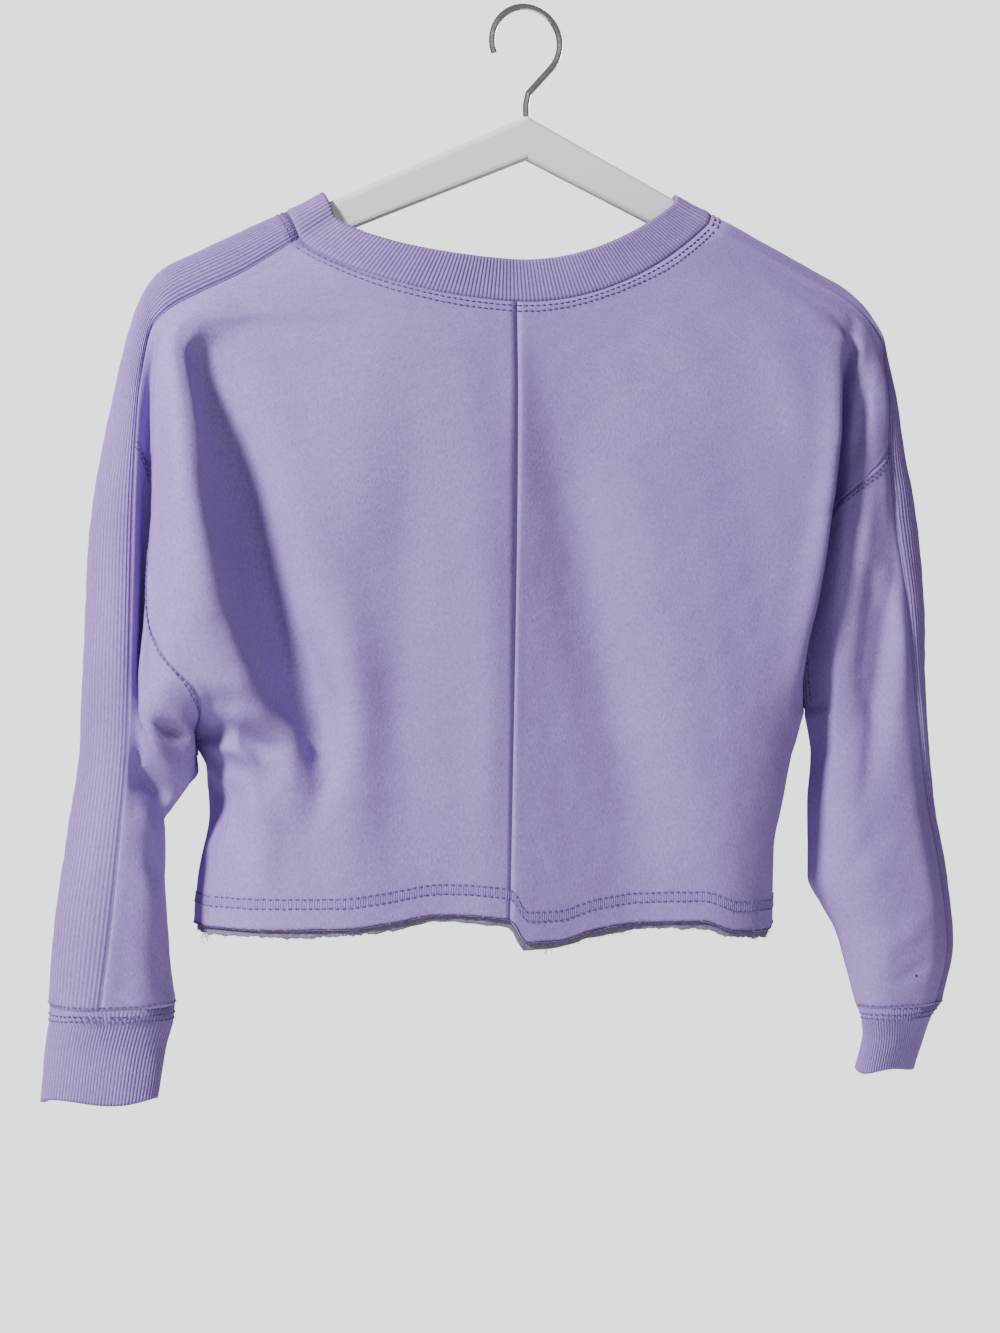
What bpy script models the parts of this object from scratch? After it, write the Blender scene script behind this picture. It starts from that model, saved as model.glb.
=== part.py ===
"""Cropped fleece sweatshirt with ribbed side strips, hanging on a plain hanger.

Frame: metres, +Z up. The origin is the seat under the top of the hanger's hook.
X runs along the hanger, and the garment's back faces -Y.
The section tables are in millimetres. Their x is the distance outwards from the
hanger's middle, so the same columns serve the left (-X) and the right (+X) side.
"""
import bmesh
import bpy
import numpy as np
from mathutils import Vector

MM = 0.001
OBJECT_NAME = "cropped_sweatshirt_on_hanger"

# Cloth
WALL = 1.6            # fleece wall
RIB_WALL = 2.0        # ribbed wall
SEAM_GAP = 0.3        # gap between two pieces at a seam
NORMAL_PASSES = 2     # evening out of the wall's direction
LEAST_WALL_SHARE = 0.65       # of the wall, kept in the tightest folds
LEAST_INNER_FACE = 0.2        # of the outer face, kept by the inner one
BAND_HEIGHT = 26.0    # neckband
BAND_LEAN = 3.0       # the band's top edge leans in by this much

# Hanger
ARM_SLOPE = 0.475
ARM_TOP_Z = -65.5     # top of the arms at the middle
ARM_REACH = 214.0     # half length
ARM_HEIGHT = (27.0, 18.0)      # at the middle, at the tip
ARM_THICKNESS = (8.5, 7.5)    # at the middle, at the tip
ARM_ROUNDING = 3.2    # rounding of the long edges
HOOK_WIRE = 4.0
HOOK_INNER_RADIUS = 20.0
HOOK_STEM = 14.0      # straight part above the arms

# Neckline
NECK_CENTRE_X = -16.0
NECK_FOCUS_Z = -58.0  # the band's edge points towards this height
BACK_NECK_Z = -184.0
FRONT_NECK_Z = -226.0

# Grid steps
ACROSS = 16           # centre seam to side
SIDE_STEPS = 9        # hem to armpit
CAP_STEPS = 7         # armhole, from its top to where it turns down
FLANK_STEPS = 8       # armhole, from there to the armpit
YOKE_STEPS = 8        # top of the armhole to the neck
STRIP_ACROSS = 6
SLEEVE_STEPS = 20
CUFF_STEPS = 4

# Centre seam of the back and centre line of the front: z, x, y
CENTRE_BACK = (
    (-184, -16, -31), (-240, -18, -39), (-304, -20, -44), (-424, -24, -50), (-575, -28, -53),
)
CENTRE_FRONT = (
    (-226, -16, 36), (-300, -18, 42), (-424, -20, 48), (-575, -22, 50),
)

# Strip over the shoulder and down the sleeve.
# z of the back seam, then back x y, top x y z, front x y z
STRIP = {
    "left": (
        (-149, 146, -12, 152, 0, -132, 150, 15, -163),
        (-172, 182, -12, 186, 0, -149, 187, 15, -184),
        (-184, 206, -12, 208, 0, -160, 209, 15, -194),
        (-195, 225, -12, 226, 0, -170, 228, 15, -203),
        (-205, 234, -10, 237, 1, -184, 238, 15, -212),
        (-220, 238, -11, 245, 2, -206, 245, 16, -226),
        (-251, 243, -15, 254, 3, -247, 251, 19, -253),
        (-309, 247, -22, 266, 4, -309, 256, 25, -309),
        (-366, 249, -26, 270, 4, -366, 258, 30, -366),
        (-450, 252, -31, 273, 4, -450, 260, 36, -450),
        (-500, 257, -35, 280, 4, -500, 262, 38, -500),
        (-550, 262, -35, 288, 3, -550, 268, 36, -550),
        (-602, 268, -31, 292, 2, -602, 274, 30, -602),
    ),
    "right": (
        (-127, 118, -8, 122, 0, -119, 120, 18, -160),
        (-142, 154, -8, 157, 0, -135, 156, 18, -176),
        (-154, 180, -8, 182, 0, -147, 181, 18, -188),
        (-170, 214, -8, 215, 0, -163, 214, 17, -202),
        (-186, 233, -6, 233, 4, -178, 233, 18, -216),
        (-200, 240, -6, 243, 6, -194, 242, 20, -228),
        (-234, 240, -14, 251, 6, -232, 246, 27, -246),
        (-269, 238, -18, 257, 6, -268, 247, 31, -274),
        (-300, 239, -22, 264, 6, -300, 248, 33, -302),
        (-362, 247, -25, 269, 6, -362, 250, 34, -362),
        (-425, 254, -24, 270, 6, -425, 252, 34, -425),
        (-490, 266, -16, 277, 7, -490, 257, 34, -490),
        (-537, 277, -13, 287, 8, -537, 263, 34, -537),
        (-585, 283, -11, 292, 8, -585, 267, 32, -585),
        (-622, 276, -8, 284, 5, -622, 262, 20, -622),
    ),
}

# Back of the body and sleeve above the armpit.
# z, then x y of mid, trough, crest, seam, face, edge, notch
YOKE_BACK = {
    "left": (
        (-149, 75, -25, 115, -19, 130, -16, 134, -15, 137, -14, 140, -13, 143, -12.5),
        (-172, 80, -32, 140, -24, 160, -19, 166, -17, 171, -15, 175, -14, 178, -13),
        (-184, 85, -34, 156, -25, 182, -20, 189, -18.5, 194, -17, 198, -15.5, 202, -13.5),
        (-195, 90, -36, 172, -26, 200, -22, 207, -21, 212, -19, 216, -17, 220, -14),
        (-205, 93, -38, 188, -22, 211, -25, 219, -25, 224, -23, 228, -19, 231, -14),
        (-225, 98, -40, 202, -21, 221, -34, 228, -36, 232, -34, 234, -28, 232, -16),
        (-251, 105, -42, 199, -24, 219, -45, 228, -47, 234, -44, 237, -36, 233, -18),
        (-309, 118, -45, 190, -30, 214, -55, 225, -57, 233, -53, 238, -43, 234, -20),
        (-366, 122, -47, 174, -34, 206, -60, 221, -61, 234, -55, 242, -42, 237, -20),
        (-411, 122, -48, 157, -37, 196, -61, 214, -58, 236, -54, 247, -40, 241, -22),
        (-430, 120, -48, 153, -39, 191, -54, 209, -42, 228, -48, 247, -39, 243, -24),
        (-450, 118, -49, 150, -42, 189, -42, 205, 4, 213, -33, 240, -38, 244, -26),
    ),
    "right": (
        (-127, 45, -20, 70, -16, 90, -13, 98, -11, 104, -10, 109, -9, 113, -8.5),
        (-142, 47, -23, 80, -19, 110, -15, 122, -13, 132, -11.5, 140, -10.5, 148, -9),
        (-154, 50, -26, 90, -22, 130, -17, 145, -14, 155, -12, 164, -10, 172, -9),
        (-172, 45, -29, 100, -28, 166, -22, 183, -18, 194, -15, 203, -12, 210, -10),
        (-186, 40, -31, 103, -31, 186, -26, 203, -20, 214, -17, 222, -14, 228, -10),
        (-200, 35, -32, 106, -34, 203, -26, 212, -18, 219, -18, 227, -15, 234, -11),
        (-230, 32, -34, 108, -38, 199, -33, 206, -14, 214, -19, 225, -22, 234, -20),
        (-269, 28, -36, 108, -42, 191, -39, 198, -14, 208, -23, 220, -27, 231, -24),
        (-300, 26, -37, 106, -44, 186, -41, 193, -14, 203, -27, 216, -30, 229, -28),
        (-331, 28, -38, 105, -45, 181, -41, 188, -13, 200, -30, 216, -31, 232, -27),
        (-362, 31, -39, 106, -46, 176, -41, 184, -12, 198, -31, 224, -26, 237, -29),
        (-400, 36, -40, 110, -47, 170, -39, 181, -8, 197, -30, 221, -26, 241, -29),
        (-432, 40, -41, 113, -47, 168, -34, 187, 0, 197, -26, 218, -27, 242, -29),
    ),
}

# Back of the body below the armpit: z, then x y of mid, trough, crest, side
BODY_BACK = {
    "left": (
        (-466, 120, -49, 148, -45, 182, -41, 199, -6),
        (-483, 120, -50, 150, -46, 177, -40, 190, -18),
        (-504, 118, -50, 150, -45, 177, -38, 194, -20),
        (-544, 115, -51, 145, -47, 178, -38, 202, -15),
        (-575, 112, -51, 142, -48, 178, -38, 203, -12),
    ),
    "right": (
        (-450, 42, -42, 113, -47, 162, -33, 182, 0),
        (-470, 44, -42, 112, -47, 158, -33, 175, 0),
        (-495, 48, -42, 110, -47, 152, -34, 170, 0),
        (-520, 52, -42, 108, -47, 148, -34, 166, 0),
        (-575, 58, -42, 105, -47, 146, -32, 165, 0),
    ),
}

# Back of the sleeve below the armpit: z, then x y of inner, face, edge, notch
SLEEVE_BACK = {
    "left": (
        (-466, 203, 6, 210, -22, 232, -33, 244, -27),
        (-480, 214, 6, 218, -15, 229, -26, 243, -29),
        (-495, 224, 4, 227, -14, 234, -26, 245, -33),
        (-541, 224, 2, 226, -14, 233, -27, 245, -34),
        (-571, 222, 0, 224, -13, 232, -26, 247, -33),
        (-604, 218, -2, 221, -13, 231, -24, 248, -31),
    ),
    "right": (
        (-460, 191, 0, 198, -22, 216, -28, 243, -28),
        (-490, 189, 0, 197, -21, 217, -29, 247, -28),
        (-537, 189, 0, 199, -22, 222, -31, 256, -29),
        (-555, 198, 0, 206, -23, 228, -31, 260, -29),
        (-572, 208, 0, 214, -21, 232, -30, 262, -28),
        (-590, 214, 0, 219, -19, 235, -27, 262, -26),
        (-624, 224, 0, 227, -13, 240, -18, 260, -16),
    ),
}

# Front of the body above the armpit: z, then x y of mid, turn, edge, seam, bulge
YOKE_FRONT = {
    "left": (
        (-163, 80, 26, 115, 20, 130, 18, 138, 17, 144, 16),
        (-184, 88, 30, 140, 25, 163, 20.5, 173, 18, 180, 16.5),
        (-194, 92, 32, 150, 27, 180, 21, 193, 18, 201, 16.5),
        (-203, 95, 34, 160, 28, 192, 22, 209, 18, 219, 16),
        (-226, 100, 37, 175, 33, 210, 26, 224, 18, 236, 17),
        (-260, 105, 40, 180, 38, 211, 34, 218, 17, 236, 24),
        (-309, 108, 43, 180, 43, 208, 40, 214, 16, 236, 32),
        (-366, 110, 45, 178, 46, 203, 42, 211, 14, 236, 37),
        (-420, 110, 47, 174, 46, 198, 36, 208, 10, 235, 40),
        (-450, 110, 48, 170, 44, 192, 30, 205, 4, 232, 40),
    ),
    "right": (
        (-160, 45, 28, 85, 23, 100, 21, 106, 20, 113, 19),
        (-176, 54, 30, 106, 25, 127, 22, 139, 20, 148, 19),
        (-188, 60, 32, 125, 27, 150, 23, 162, 20, 172, 19),
        (-202, 66, 34, 142, 30, 173, 25, 191, 20, 204, 19),
        (-216, 70, 36, 155, 32, 195, 26, 210, 20, 223, 19),
        (-246, 75, 39, 165, 38, 196, 33, 205, 18, 228, 26),
        (-300, 80, 43, 160, 44, 188, 39, 195, 17, 222, 36),
        (-362, 82, 46, 155, 47, 178, 42, 186, 14, 220, 40),
        (-410, 82, 47, 150, 47, 172, 36, 183, 9, 218, 41),
        (-432, 82, 48, 148, 46, 172, 28, 187, 0, 218, 40),
    ),
}

# Front of the body below the armpit: z, then x y of mid, turn, edge
BODY_FRONT = {
    "left": (
        (-470, 110, 48, 170, 42, 195, 20),
        (-490, 110, 49, 170, 41, 195, 14),
        (-524, 110, 49, 172, 41, 201, 14),
        (-575, 110, 49, 174, 41, 206, 14),
    ),
    "right": (
        (-460, 82, 48, 145, 44, 168, 26),
        (-495, 80, 48, 138, 43, 160, 26),
        (-520, 80, 48, 135, 42, 156, 26),
        (-575, 80, 47, 132, 40, 154, 24),
    ),
}

# Front of the sleeve below the armpit: z, then x y of bulge
SLEEVE_FRONT = {
    "left": (
        (-450, 232, 40), (-466, 230, 41), (-495, 238, 39), (-541, 239, 36), (-604, 236, 24),
    ),
    "right": (
        (-432, 218, 40), (-460, 220, 39), (-537, 222, 38), (-572, 233, 34), (-624, 240, 17),
    ),
}

# Armhole seam on the back: place along the section, z. First its cap, then its flank.
ARMHOLE_BACK = {
    "left": (((1.0, -270), (0.94, -282), (0.88, -305), (0.8, -340)),
             ((0.8, -340), (0.74, -372), (0.66, -398), (0.58, -420), (0.56, -450))),
    "right": (((1.0, -262), (0.9, -271), (0.78, -282), (0.64, -299)),
              ((0.64, -299), (0.58, -325), (0.56, -355), (0.56, -390), (0.56, -432))),
}
# Armhole seam on the front
ARMHOLE_FRONT = {
    "left": (((1.0, -271), (0.86, -284), (0.68, -300)),
             ((0.68, -300), (0.61, -330), (0.6, -380), (0.6, -450))),
    "right": (((1.0, -274), (0.86, -286), (0.68, -300)),
              ((0.68, -300), (0.61, -330), (0.6, -370), (0.6, -432))),
}

# Raw bottom edge: x along the hanger, z. It steps down beside the centre seam.
HEM_BACK = (
    (-206, -557), (-170, -558), (-130, -558), (-100, -555), (-71, -551), (-28, -555),
    (-16, -569), (3, -569), (31, -563), (64, -560), (97, -560), (122, -567), (151, -568), (166, -565),
)
HEM_FRONT = ((-206, -557), (-120, -560), (-20, -556), (80, -560), (166, -565))

# Cuffs below the sleeve's end.
# z, centre x y, half width, half depth, turn in degrees
CUFF = {
    "left": (
        (-612, 256, 0, 36, 25, -14), (-630, 260, -1, 35, 19, -16), (-657, 264, -3, 34, 16, -17),
    ),
    "right": (
        (-630, 255, 6, 29, 19, 30), (-645, 257, 15, 28, 17, 36), (-666, 257, 27, 28, 17, 40),
    ),
}
CUFF_WAVE = 1.5       # the cuff's free edge waves by this much
HEM_Z = -560.0        # mean height of the bottom edge
FACING_WALL = 1.6     # raw inner layer of the hem
FACING_BELOW = 4.0    # it shows below the outer layer by this much

SIDES = {"left": -1.0, "right": 1.0}
BACK_KNOTS = (0.0, 0.16, 0.32, 0.46, 0.56, 0.66, 0.76, 0.88, 1.0)
FRONT_KNOTS = (0.0, 0.2, 0.38, 0.5, 0.6, 0.8, 1.0)
BACK_SEAM_PLACE = 0.56
FRONT_SEAM_PLACE = 0.6
SECTION_LENGTH = 160.0     # cloth from the centre to the strip, to space the armhole
NECK_ROUNDNESS = {"left": 0.75, "right": 0.0}
OVAL_CUT = 0.96

FLEECE_COLOUR = (0.46, 0.38, 0.62, 1.0)
RIB_COLOUR = (0.42, 0.34, 0.57, 1.0)
HANGER_COLOUR = (0.68, 0.70, 0.69, 1.0)
HOOK_COLOUR = (0.55, 0.56, 0.57, 1.0)


# ---------------------------------------------------------------- smooth rows
def slopes(step, rise):
    """Slopes at the knots of a curve that never overshoots its rows."""
    slope = np.zeros(rise.shape[:-2] + (rise.shape[-2] + 1, rise.shape[-1]))
    slope[..., 0, :], slope[..., -1, :] = rise[..., 0, :], rise[..., -1, :]
    before, after = rise[..., :-1, :], rise[..., 1:, :]
    same = before * after > 0
    total = np.where(same, before + after, 1)
    slope[..., 1:-1, :] = np.where(same, 2 * before * after / total, 0)
    return slope


def along(knots, curves, at):
    """A point on each of n curves through the knots, at its own place."""
    knots, at = np.asarray(knots, float), np.clip(at, knots[0], knots[-1])
    step = np.diff(knots)
    slope = slopes(step, np.diff(curves, axis=1) / step[:, None])
    cell = np.clip(np.searchsorted(knots, at, side="right") - 1, 0, len(step) - 1)
    every = np.arange(len(at))
    width = step[cell][:, None]
    t = ((at - knots[cell]) / step[cell])[:, None]
    return ((1 + 2 * t) * (1 - t) ** 2 * curves[every, cell]
            + t * (1 - t) ** 2 * width * slope[every, cell]
            + t * t * (3 - 2 * t) * curves[every, cell + 1]
            + t * t * (t - 1) * width * slope[every, cell + 1])


def smooth(keys, values, at):
    """Points of one curve through values at rising keys."""
    at = np.atleast_1d(np.asarray(at, float))
    values = np.asarray(values, float).reshape(len(keys), -1)
    return along(keys, np.broadcast_to(values, (len(at),) + values.shape), at)


def rows_at(rows, z):
    """The columns of a table whose rows start with z, at heights z."""
    table = np.asarray(rows, float)[::-1]
    return smooth(table[:, 0], table[:, 1:], z)


def pairs(columns):
    """Columns x y x y ... as points."""
    return columns.reshape(len(columns), -1, 2)


class Side:
    """One half of the garment: its section curves and seams."""

    def __init__(self, name):
        self.name = name
        self.sign = SIDES[name]
        yoke, front = YOKE_BACK[name], YOKE_FRONT[name]
        self.armpit_z = yoke[-1][0]
        self.cuff_z = STRIP[name][-1][0]
        self.body = [row[:7] for row in yoke] + [row[:7] for row in BODY_BACK[name]]
        self.outer = ([(row[0],) + row[9:] for row in yoke]
                      + [(row[0],) + row[3:] for row in SLEEVE_BACK[name]])
        self.seam = [(row[0], row[7], row[8]) for row in yoke]
        self.side = self.seam[-1:] + [(row[0], row[7], row[8]) for row in BODY_BACK[name]]
        self.inner = self.seam[-1:] + [row[:3] for row in SLEEVE_BACK[name]]
        self.front_body = [row[:7] for row in front] + list(BODY_FRONT[name])
        self.front_seam = [(row[0], row[7], row[8]) for row in front]
        self.front_bulge = [(row[0], row[9], row[10]) for row in front]

    def place(self, points):
        out = np.array(points, float)
        out[..., 0] *= self.sign
        return out

    def centre(self, rows, z):
        return pairs(rows_at(rows, z) * (self.sign, 1))

    def strip_at(self, z):
        return rows_at(STRIP[self.name], z)

    def strip_front_at(self, front_z):
        """Front seam x y of the strip at its own height, found by halving."""
        high = np.full(len(front_z), float(STRIP[self.name][0][0]))
        low = np.full(len(front_z), float(self.cuff_z))
        for _ in range(45):
            middle = (high + low) / 2
            above = self.strip_at(middle)[:, 7] > front_z
            high = np.where(above, middle, high)
            low = np.where(above, low, middle)
        return pairs(self.strip_at((high + low) / 2)[:, 5:7])

    def split(self, place, z, whole, lower):
        """Points above the armpit by one rule, and below it by another."""
        place, z = np.ravel(place).astype(float), np.ravel(z).astype(float)
        out = np.zeros((len(z), 3))
        out[:, 2] = z
        for rule, chosen in ((whole, z >= self.armpit_z), (lower, z < self.armpit_z)):
            if chosen.any():
                knots, curves = rule(z[chosen])
                out[chosen, :2] = along(knots, curves, place[chosen])
        return out

    def back_points(self, place, z, part):
        """Back surface at places along the section: part is body or sleeve."""
        def whole(level):
            curves = (self.centre(CENTRE_BACK, level), pairs(rows_at(self.body, level)),
                      pairs(rows_at(self.seam, level)), pairs(rows_at(self.outer, level)),
                      pairs(self.strip_at(level)[:, :2]))
            return BACK_KNOTS, np.concatenate(curves, axis=1)

        def lower(level):
            if part == "body":
                curves = (self.centre(CENTRE_BACK, level), pairs(rows_at(self.body, level)),
                          pairs(rows_at(self.side, level)))
                return BACK_KNOTS[:5], np.concatenate(curves, axis=1)
            curves = (pairs(rows_at(self.inner, level)), pairs(rows_at(self.outer, level)),
                      pairs(self.strip_at(level)[:, :2]))
            return BACK_KNOTS[4:], np.concatenate(curves, axis=1)

        return self.split(place, z, whole, lower)

    def front_points(self, place, z, part):
        """Front surface at places along the section: part is body or sleeve."""
        def whole(level):
            curves = (self.centre(CENTRE_FRONT, level), pairs(rows_at(self.front_body, level)),
                      pairs(rows_at(self.front_seam, level)),
                      pairs(rows_at(self.front_bulge, level)), self.strip_front_at(level))
            return FRONT_KNOTS, np.concatenate(curves, axis=1)

        def lower(level):
            if part == "body":
                curves = (self.centre(CENTRE_FRONT, level),
                          pairs(rows_at(self.front_body, level)),
                          pairs(rows_at(self.side, level)))
                return FRONT_KNOTS[:5], np.concatenate(curves, axis=1)
            curves = (pairs(rows_at(self.inner, level)),
                      pairs(rows_at(SLEEVE_FRONT[self.name], level)), self.strip_front_at(level))
            return FRONT_KNOTS[4:], np.concatenate(curves, axis=1)

        return self.split(place, z, whole, lower)


# ---------------------------------------------------------------- seam lines
def neck_height(side, x, front):
    """Height of the neck seam at x outwards."""
    strip = STRIP[side.name][0]
    corner_x = strip[6] if front else strip[1]
    corner_z = strip[8] if front else strip[0]
    low = FRONT_NECK_Z if front else BACK_NECK_Z
    middle = NECK_CENTRE_X * side.sign
    u = np.clip((x - middle) / (corner_x - middle), 0, 1)
    roundness = NECK_ROUNDNESS[side.name]
    oval = (1 - np.sqrt(1 - OVAL_CUT * u ** 2)) / (1 - np.sqrt(1 - OVAL_CUT))
    return low + (corner_z - low) * ((1 - roundness) * u ** 2 + roundness * oval)


def hem_height(x, front):
    rows = HEM_FRONT if front else HEM_BACK
    keys = [row[0] for row in rows]
    return smooth(keys, [row[1] for row in rows], x)[:, 0]


def armhole(side, front):
    """Places and heights of the armhole seam, from its top to the armpit."""
    found = []
    parts = (ARMHOLE_FRONT if front else ARMHOLE_BACK)[side.name]
    for part, steps in zip(parts, (CAP_STEPS, FLANK_STEPS)):
        rows = np.array(part, float)
        if front and not found:
            rows[0, 1] = front_level(side, ARMHOLE_BACK[side.name][0][0][1])[0]
        chords = np.hypot(np.diff(rows[:, 0]) * SECTION_LENGTH, np.diff(rows[:, 1]))
        run = np.concatenate(([0], np.cumsum(chords)))
        found.append(smooth(run, rows, np.linspace(0, run[-1], steps + 1)))
    return np.vstack((found[0], found[1][1:]))


def strip_levels(side):
    """Heights of the strip's back seam: neck to armhole, and armhole to cuff."""
    top = STRIP[side.name][0][0]
    armhole_top = ARMHOLE_BACK[side.name][0][0][1]
    upper = top + (armhole_top - top) * np.linspace(0, 1, YOKE_STEPS + 1) ** 0.8
    lower = np.linspace(armhole_top, side.cuff_z, SLEEVE_STEPS + 1)
    return upper, lower


def front_level(side, z):
    return side.strip_at(z)[:, 7]


def blend_edges(first, last, start, end):
    """A patch of one value from its four edges: first and last column, start and end row."""
    q = np.linspace(0, 1, len(start))[:, None]
    v = np.linspace(0, 1, len(first))[None, :]
    across = (1 - q) * first + q * last
    upright = (1 - v) * start[:, None] + v * end[:, None]
    corners = ((1 - q) * ((1 - v) * first[0] + v * first[-1])
               + q * ((1 - v) * last[0] + v * last[-1]))
    return across + upright - corners


def panel_edge(side, front):
    """Places and heights down the side edge of a half panel, from the hem up."""
    upper = strip_levels(side)[0][::-1]
    yoke_z = front_level(side, upper) if front else upper
    side_x = rows_at(side.side, HEM_Z)[0, 0] * side.sign
    side_z = np.linspace(hem_height(side_x, False)[0], side.armpit_z, SIDE_STEPS + 1)
    seam_place = FRONT_SEAM_PLACE if front else BACK_SEAM_PLACE
    holes = armhole(side, front)[::-1]
    place = np.concatenate((np.full(SIDE_STEPS, seam_place), holes[:-1, 0],
                            np.ones(len(yoke_z))))
    return place, np.concatenate((side_z[:-1], holes[:-1, 1], yoke_z))


def panel_grid(side, front):
    """A half body panel: columns from the centre to the side, rows from the hem up."""
    place_of = side.front_points if front else side.back_points
    seam_place = FRONT_SEAM_PLACE if front else BACK_SEAM_PLACE
    edge_place, edge_z = panel_edge(side, front)
    side_x = rows_at(side.side, HEM_Z)[0, 0] * side.sign
    neck_z = FRONT_NECK_Z if front else BACK_NECK_Z
    centre_x = rows_at(CENTRE_FRONT if front else CENTRE_BACK, HEM_Z)[0, 0]
    middle_hem = hem_height(centre_x, front)[0]

    q = np.linspace(0, 1, ACROSS + 1)
    top_z = np.full(len(q), float(neck_z))
    for _ in range(80):
        top_x = place_of(q, top_z, "body")[:, 0]
        top_z = top_z + 0.25 * (neck_height(side, top_x, front) - top_z)
    bottom_x = place_of(q * seam_place, np.full(len(q), HEM_Z), "body")[:, 0] * side.sign
    bottom_z = hem_height(bottom_x, front) + (edge_z[0] - hem_height(side_x, front)) * q
    share = np.linspace(0, 1, len(edge_z))
    for name in SIDES:
        height = panel_edge(Side(name), front)[1]
        share = share + (height - height[0]) / (height[-1] - height[0]) / 2
    middle = middle_hem + (neck_z - middle_hem) * share / 2
    z = blend_edges(middle, edge_z, bottom_z, top_z)
    points = place_of(q[:, None] * edge_place, z, "body").reshape(z.shape + (3,))
    return side.place(points)


def sleeve_half(side, front):
    """Half a sleeve: columns from the strip to the inner line, rows from the cap down."""
    seam_place = FRONT_SEAM_PLACE if front else BACK_SEAM_PLACE
    levels = strip_levels(side)[1]
    outer_z = front_level(side, levels) if front else levels
    hole = armhole(side, front)
    cap, flank = hole[:CAP_STEPS + 1], hole[CAP_STEPS:]
    lower = SLEEVE_STEPS - FLANK_STEPS
    inner_z = np.append(flank[:, 1], np.linspace(side.armpit_z, side.cuff_z, lower + 1)[1:])
    inner_place = np.append(flank[:, 0], np.full(lower, seam_place))
    end_z = np.linspace(outer_z[-1], side.cuff_z, CAP_STEPS + 1)
    end_place = np.linspace(1, seam_place, CAP_STEPS + 1)
    z = blend_edges(outer_z, inner_z, cap[:, 1], end_z)
    place = blend_edges(np.ones(len(levels)), inner_place, cap[:, 0], end_place)
    points = (side.front_points if front else side.back_points)(place, z, "sleeve")
    return side.place(points.reshape(z.shape + (3,)))


def strip_grid(side):
    """The ribbed strip: columns across it, rows from the neck to the cuff."""
    upper, lower = strip_levels(side)
    levels = np.concatenate((upper, lower[1:]))
    rows = side.strip_at(levels)
    back = np.column_stack((rows[:, 0], rows[:, 1], levels))
    line = np.stack((back, rows[:, 2:5], rows[:, 5:8]), axis=1)
    grid = []
    for place in np.linspace(-1, 1, STRIP_ACROSS + 1):
        turn = abs(place) * np.pi / 2
        edge = line[:, 0] if place < 0 else line[:, 2]
        share = np.array((1 - np.cos(turn), np.sin(turn), 1 - np.cos(turn)))
        grid.append(line[:, 1] + (edge - line[:, 1]) * share)
    return side.place(np.array(grid))


# ---------------------------------------------------------------- rings
def cuff_grid(side, strip, back, front):
    """The cuff: columns round the sleeve's end, rows down to the free edge."""
    loop = np.vstack((strip[:-1, -1], front[:-1, -1], back[::-1][:-1, -1]))
    closed = np.vstack((loop, loop[:1]))
    run = np.concatenate(([0], np.cumsum(np.linalg.norm(np.diff(closed, axis=0), axis=1))))
    share = run[:-1] / run[-1]
    rows = CUFF[side.name]
    grid = np.zeros((len(loop), CUFF_STEPS + 1, 3))
    grid[:, 0] = loop
    levels = np.linspace(rows[0][0], rows[-1][0], CUFF_STEPS)
    for j, z in enumerate(levels, start=1):
        x, y, half_width, half_depth, turn = rows_at(rows, z)[0]
        x, turn = x * side.sign, np.radians(turn)
        start = np.arctan2((loop[0, 1] - y) / half_depth, (loop[0, 0] - x) / half_width) - turn
        angle = start + side.sign * 2 * np.pi * share
        local_x, local_y = half_width * np.cos(angle), half_depth * np.sin(angle)
        wave = CUFF_WAVE * (j / CUFF_STEPS) ** 2 * np.cos(3 * angle + 0.6)
        grid[:, j, 0] = x + local_x * np.cos(turn) - local_y * np.sin(turn)
        grid[:, j, 1] = y + local_x * np.sin(turn) + local_y * np.cos(turn)
        grid[:, j, 2] = z + wave
    return grid


def neckband_grid(grids):
    """The neckband: columns round the neck seam, rows up to its free edge."""
    left, right = grids["back_left"][:, -1], grids["back_right"][:, -1]
    front = grids["front"][:, -1]
    loop = np.vstack((
        left[:-1], grids["strip_left"][:-1, 0], front[:-1],
        grids["strip_right"][::-1][:-1, 0], right[::-1][:-1],
    ))
    toward = np.zeros_like(loop)
    toward[:, 0] = NECK_CENTRE_X - loop[:, 0]
    toward[:, 2] = NECK_FOCUS_Z - loop[:, 2]
    toward /= np.linalg.norm(toward, axis=1)[:, None]
    lean = -BAND_LEAN * loop[:, 1] / np.abs(loop[:, 1]).max()
    grid = np.zeros((len(loop), 3, 3))
    for j, part in enumerate((0.0, 0.5, 1.0)):
        grid[:, j] = loop + toward * BAND_HEIGHT * part
        grid[:, j, 1] += lean * part
    return grid


def facing_grid(grids, normals):
    """The raw inner layer of the hem: columns round the hem, rows downwards."""
    rings = []
    for row in (1, 0):
        ring = []
        for name, backwards in (("back_left", False), ("front", False), ("back_right", True)):
            points = grids[name] - (WALL + SEAM_GAP) * normals[name]
            points = points[::-1, row] if backwards else points[:, row]
            ring.append(points[:-1])
        rings.append(np.vstack(ring))
    end = rings[1].copy()
    count = np.arange(len(end))
    ragged = 0.8 * np.sin(count * 1.7) + 0.6 * np.sin(count * 0.61 + 1.0)
    end[:, 2] -= FACING_BELOW + ragged
    return np.stack((0.5 * rings[0] + 0.5 * rings[1], rings[1], end), axis=1)


# ---------------------------------------------------------------- walls
def face_normals(grid, closed):
    """At every point of a grid, the sum of the area vectors of its cells."""
    cell = cell_areas(grid, closed)
    total = np.zeros((cell.shape[0] + 1, cell.shape[1] + 1, 3))
    for step_i in (0, 1):
        for step_j in (0, 1):
            total[step_i:step_i + cell.shape[0], step_j:step_j + cell.shape[1]] += cell
    if closed:
        total[0] += total[-1]
        total = total[:-1]
    return total


def key_of(point):
    return tuple(np.round(point, 2))


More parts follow.
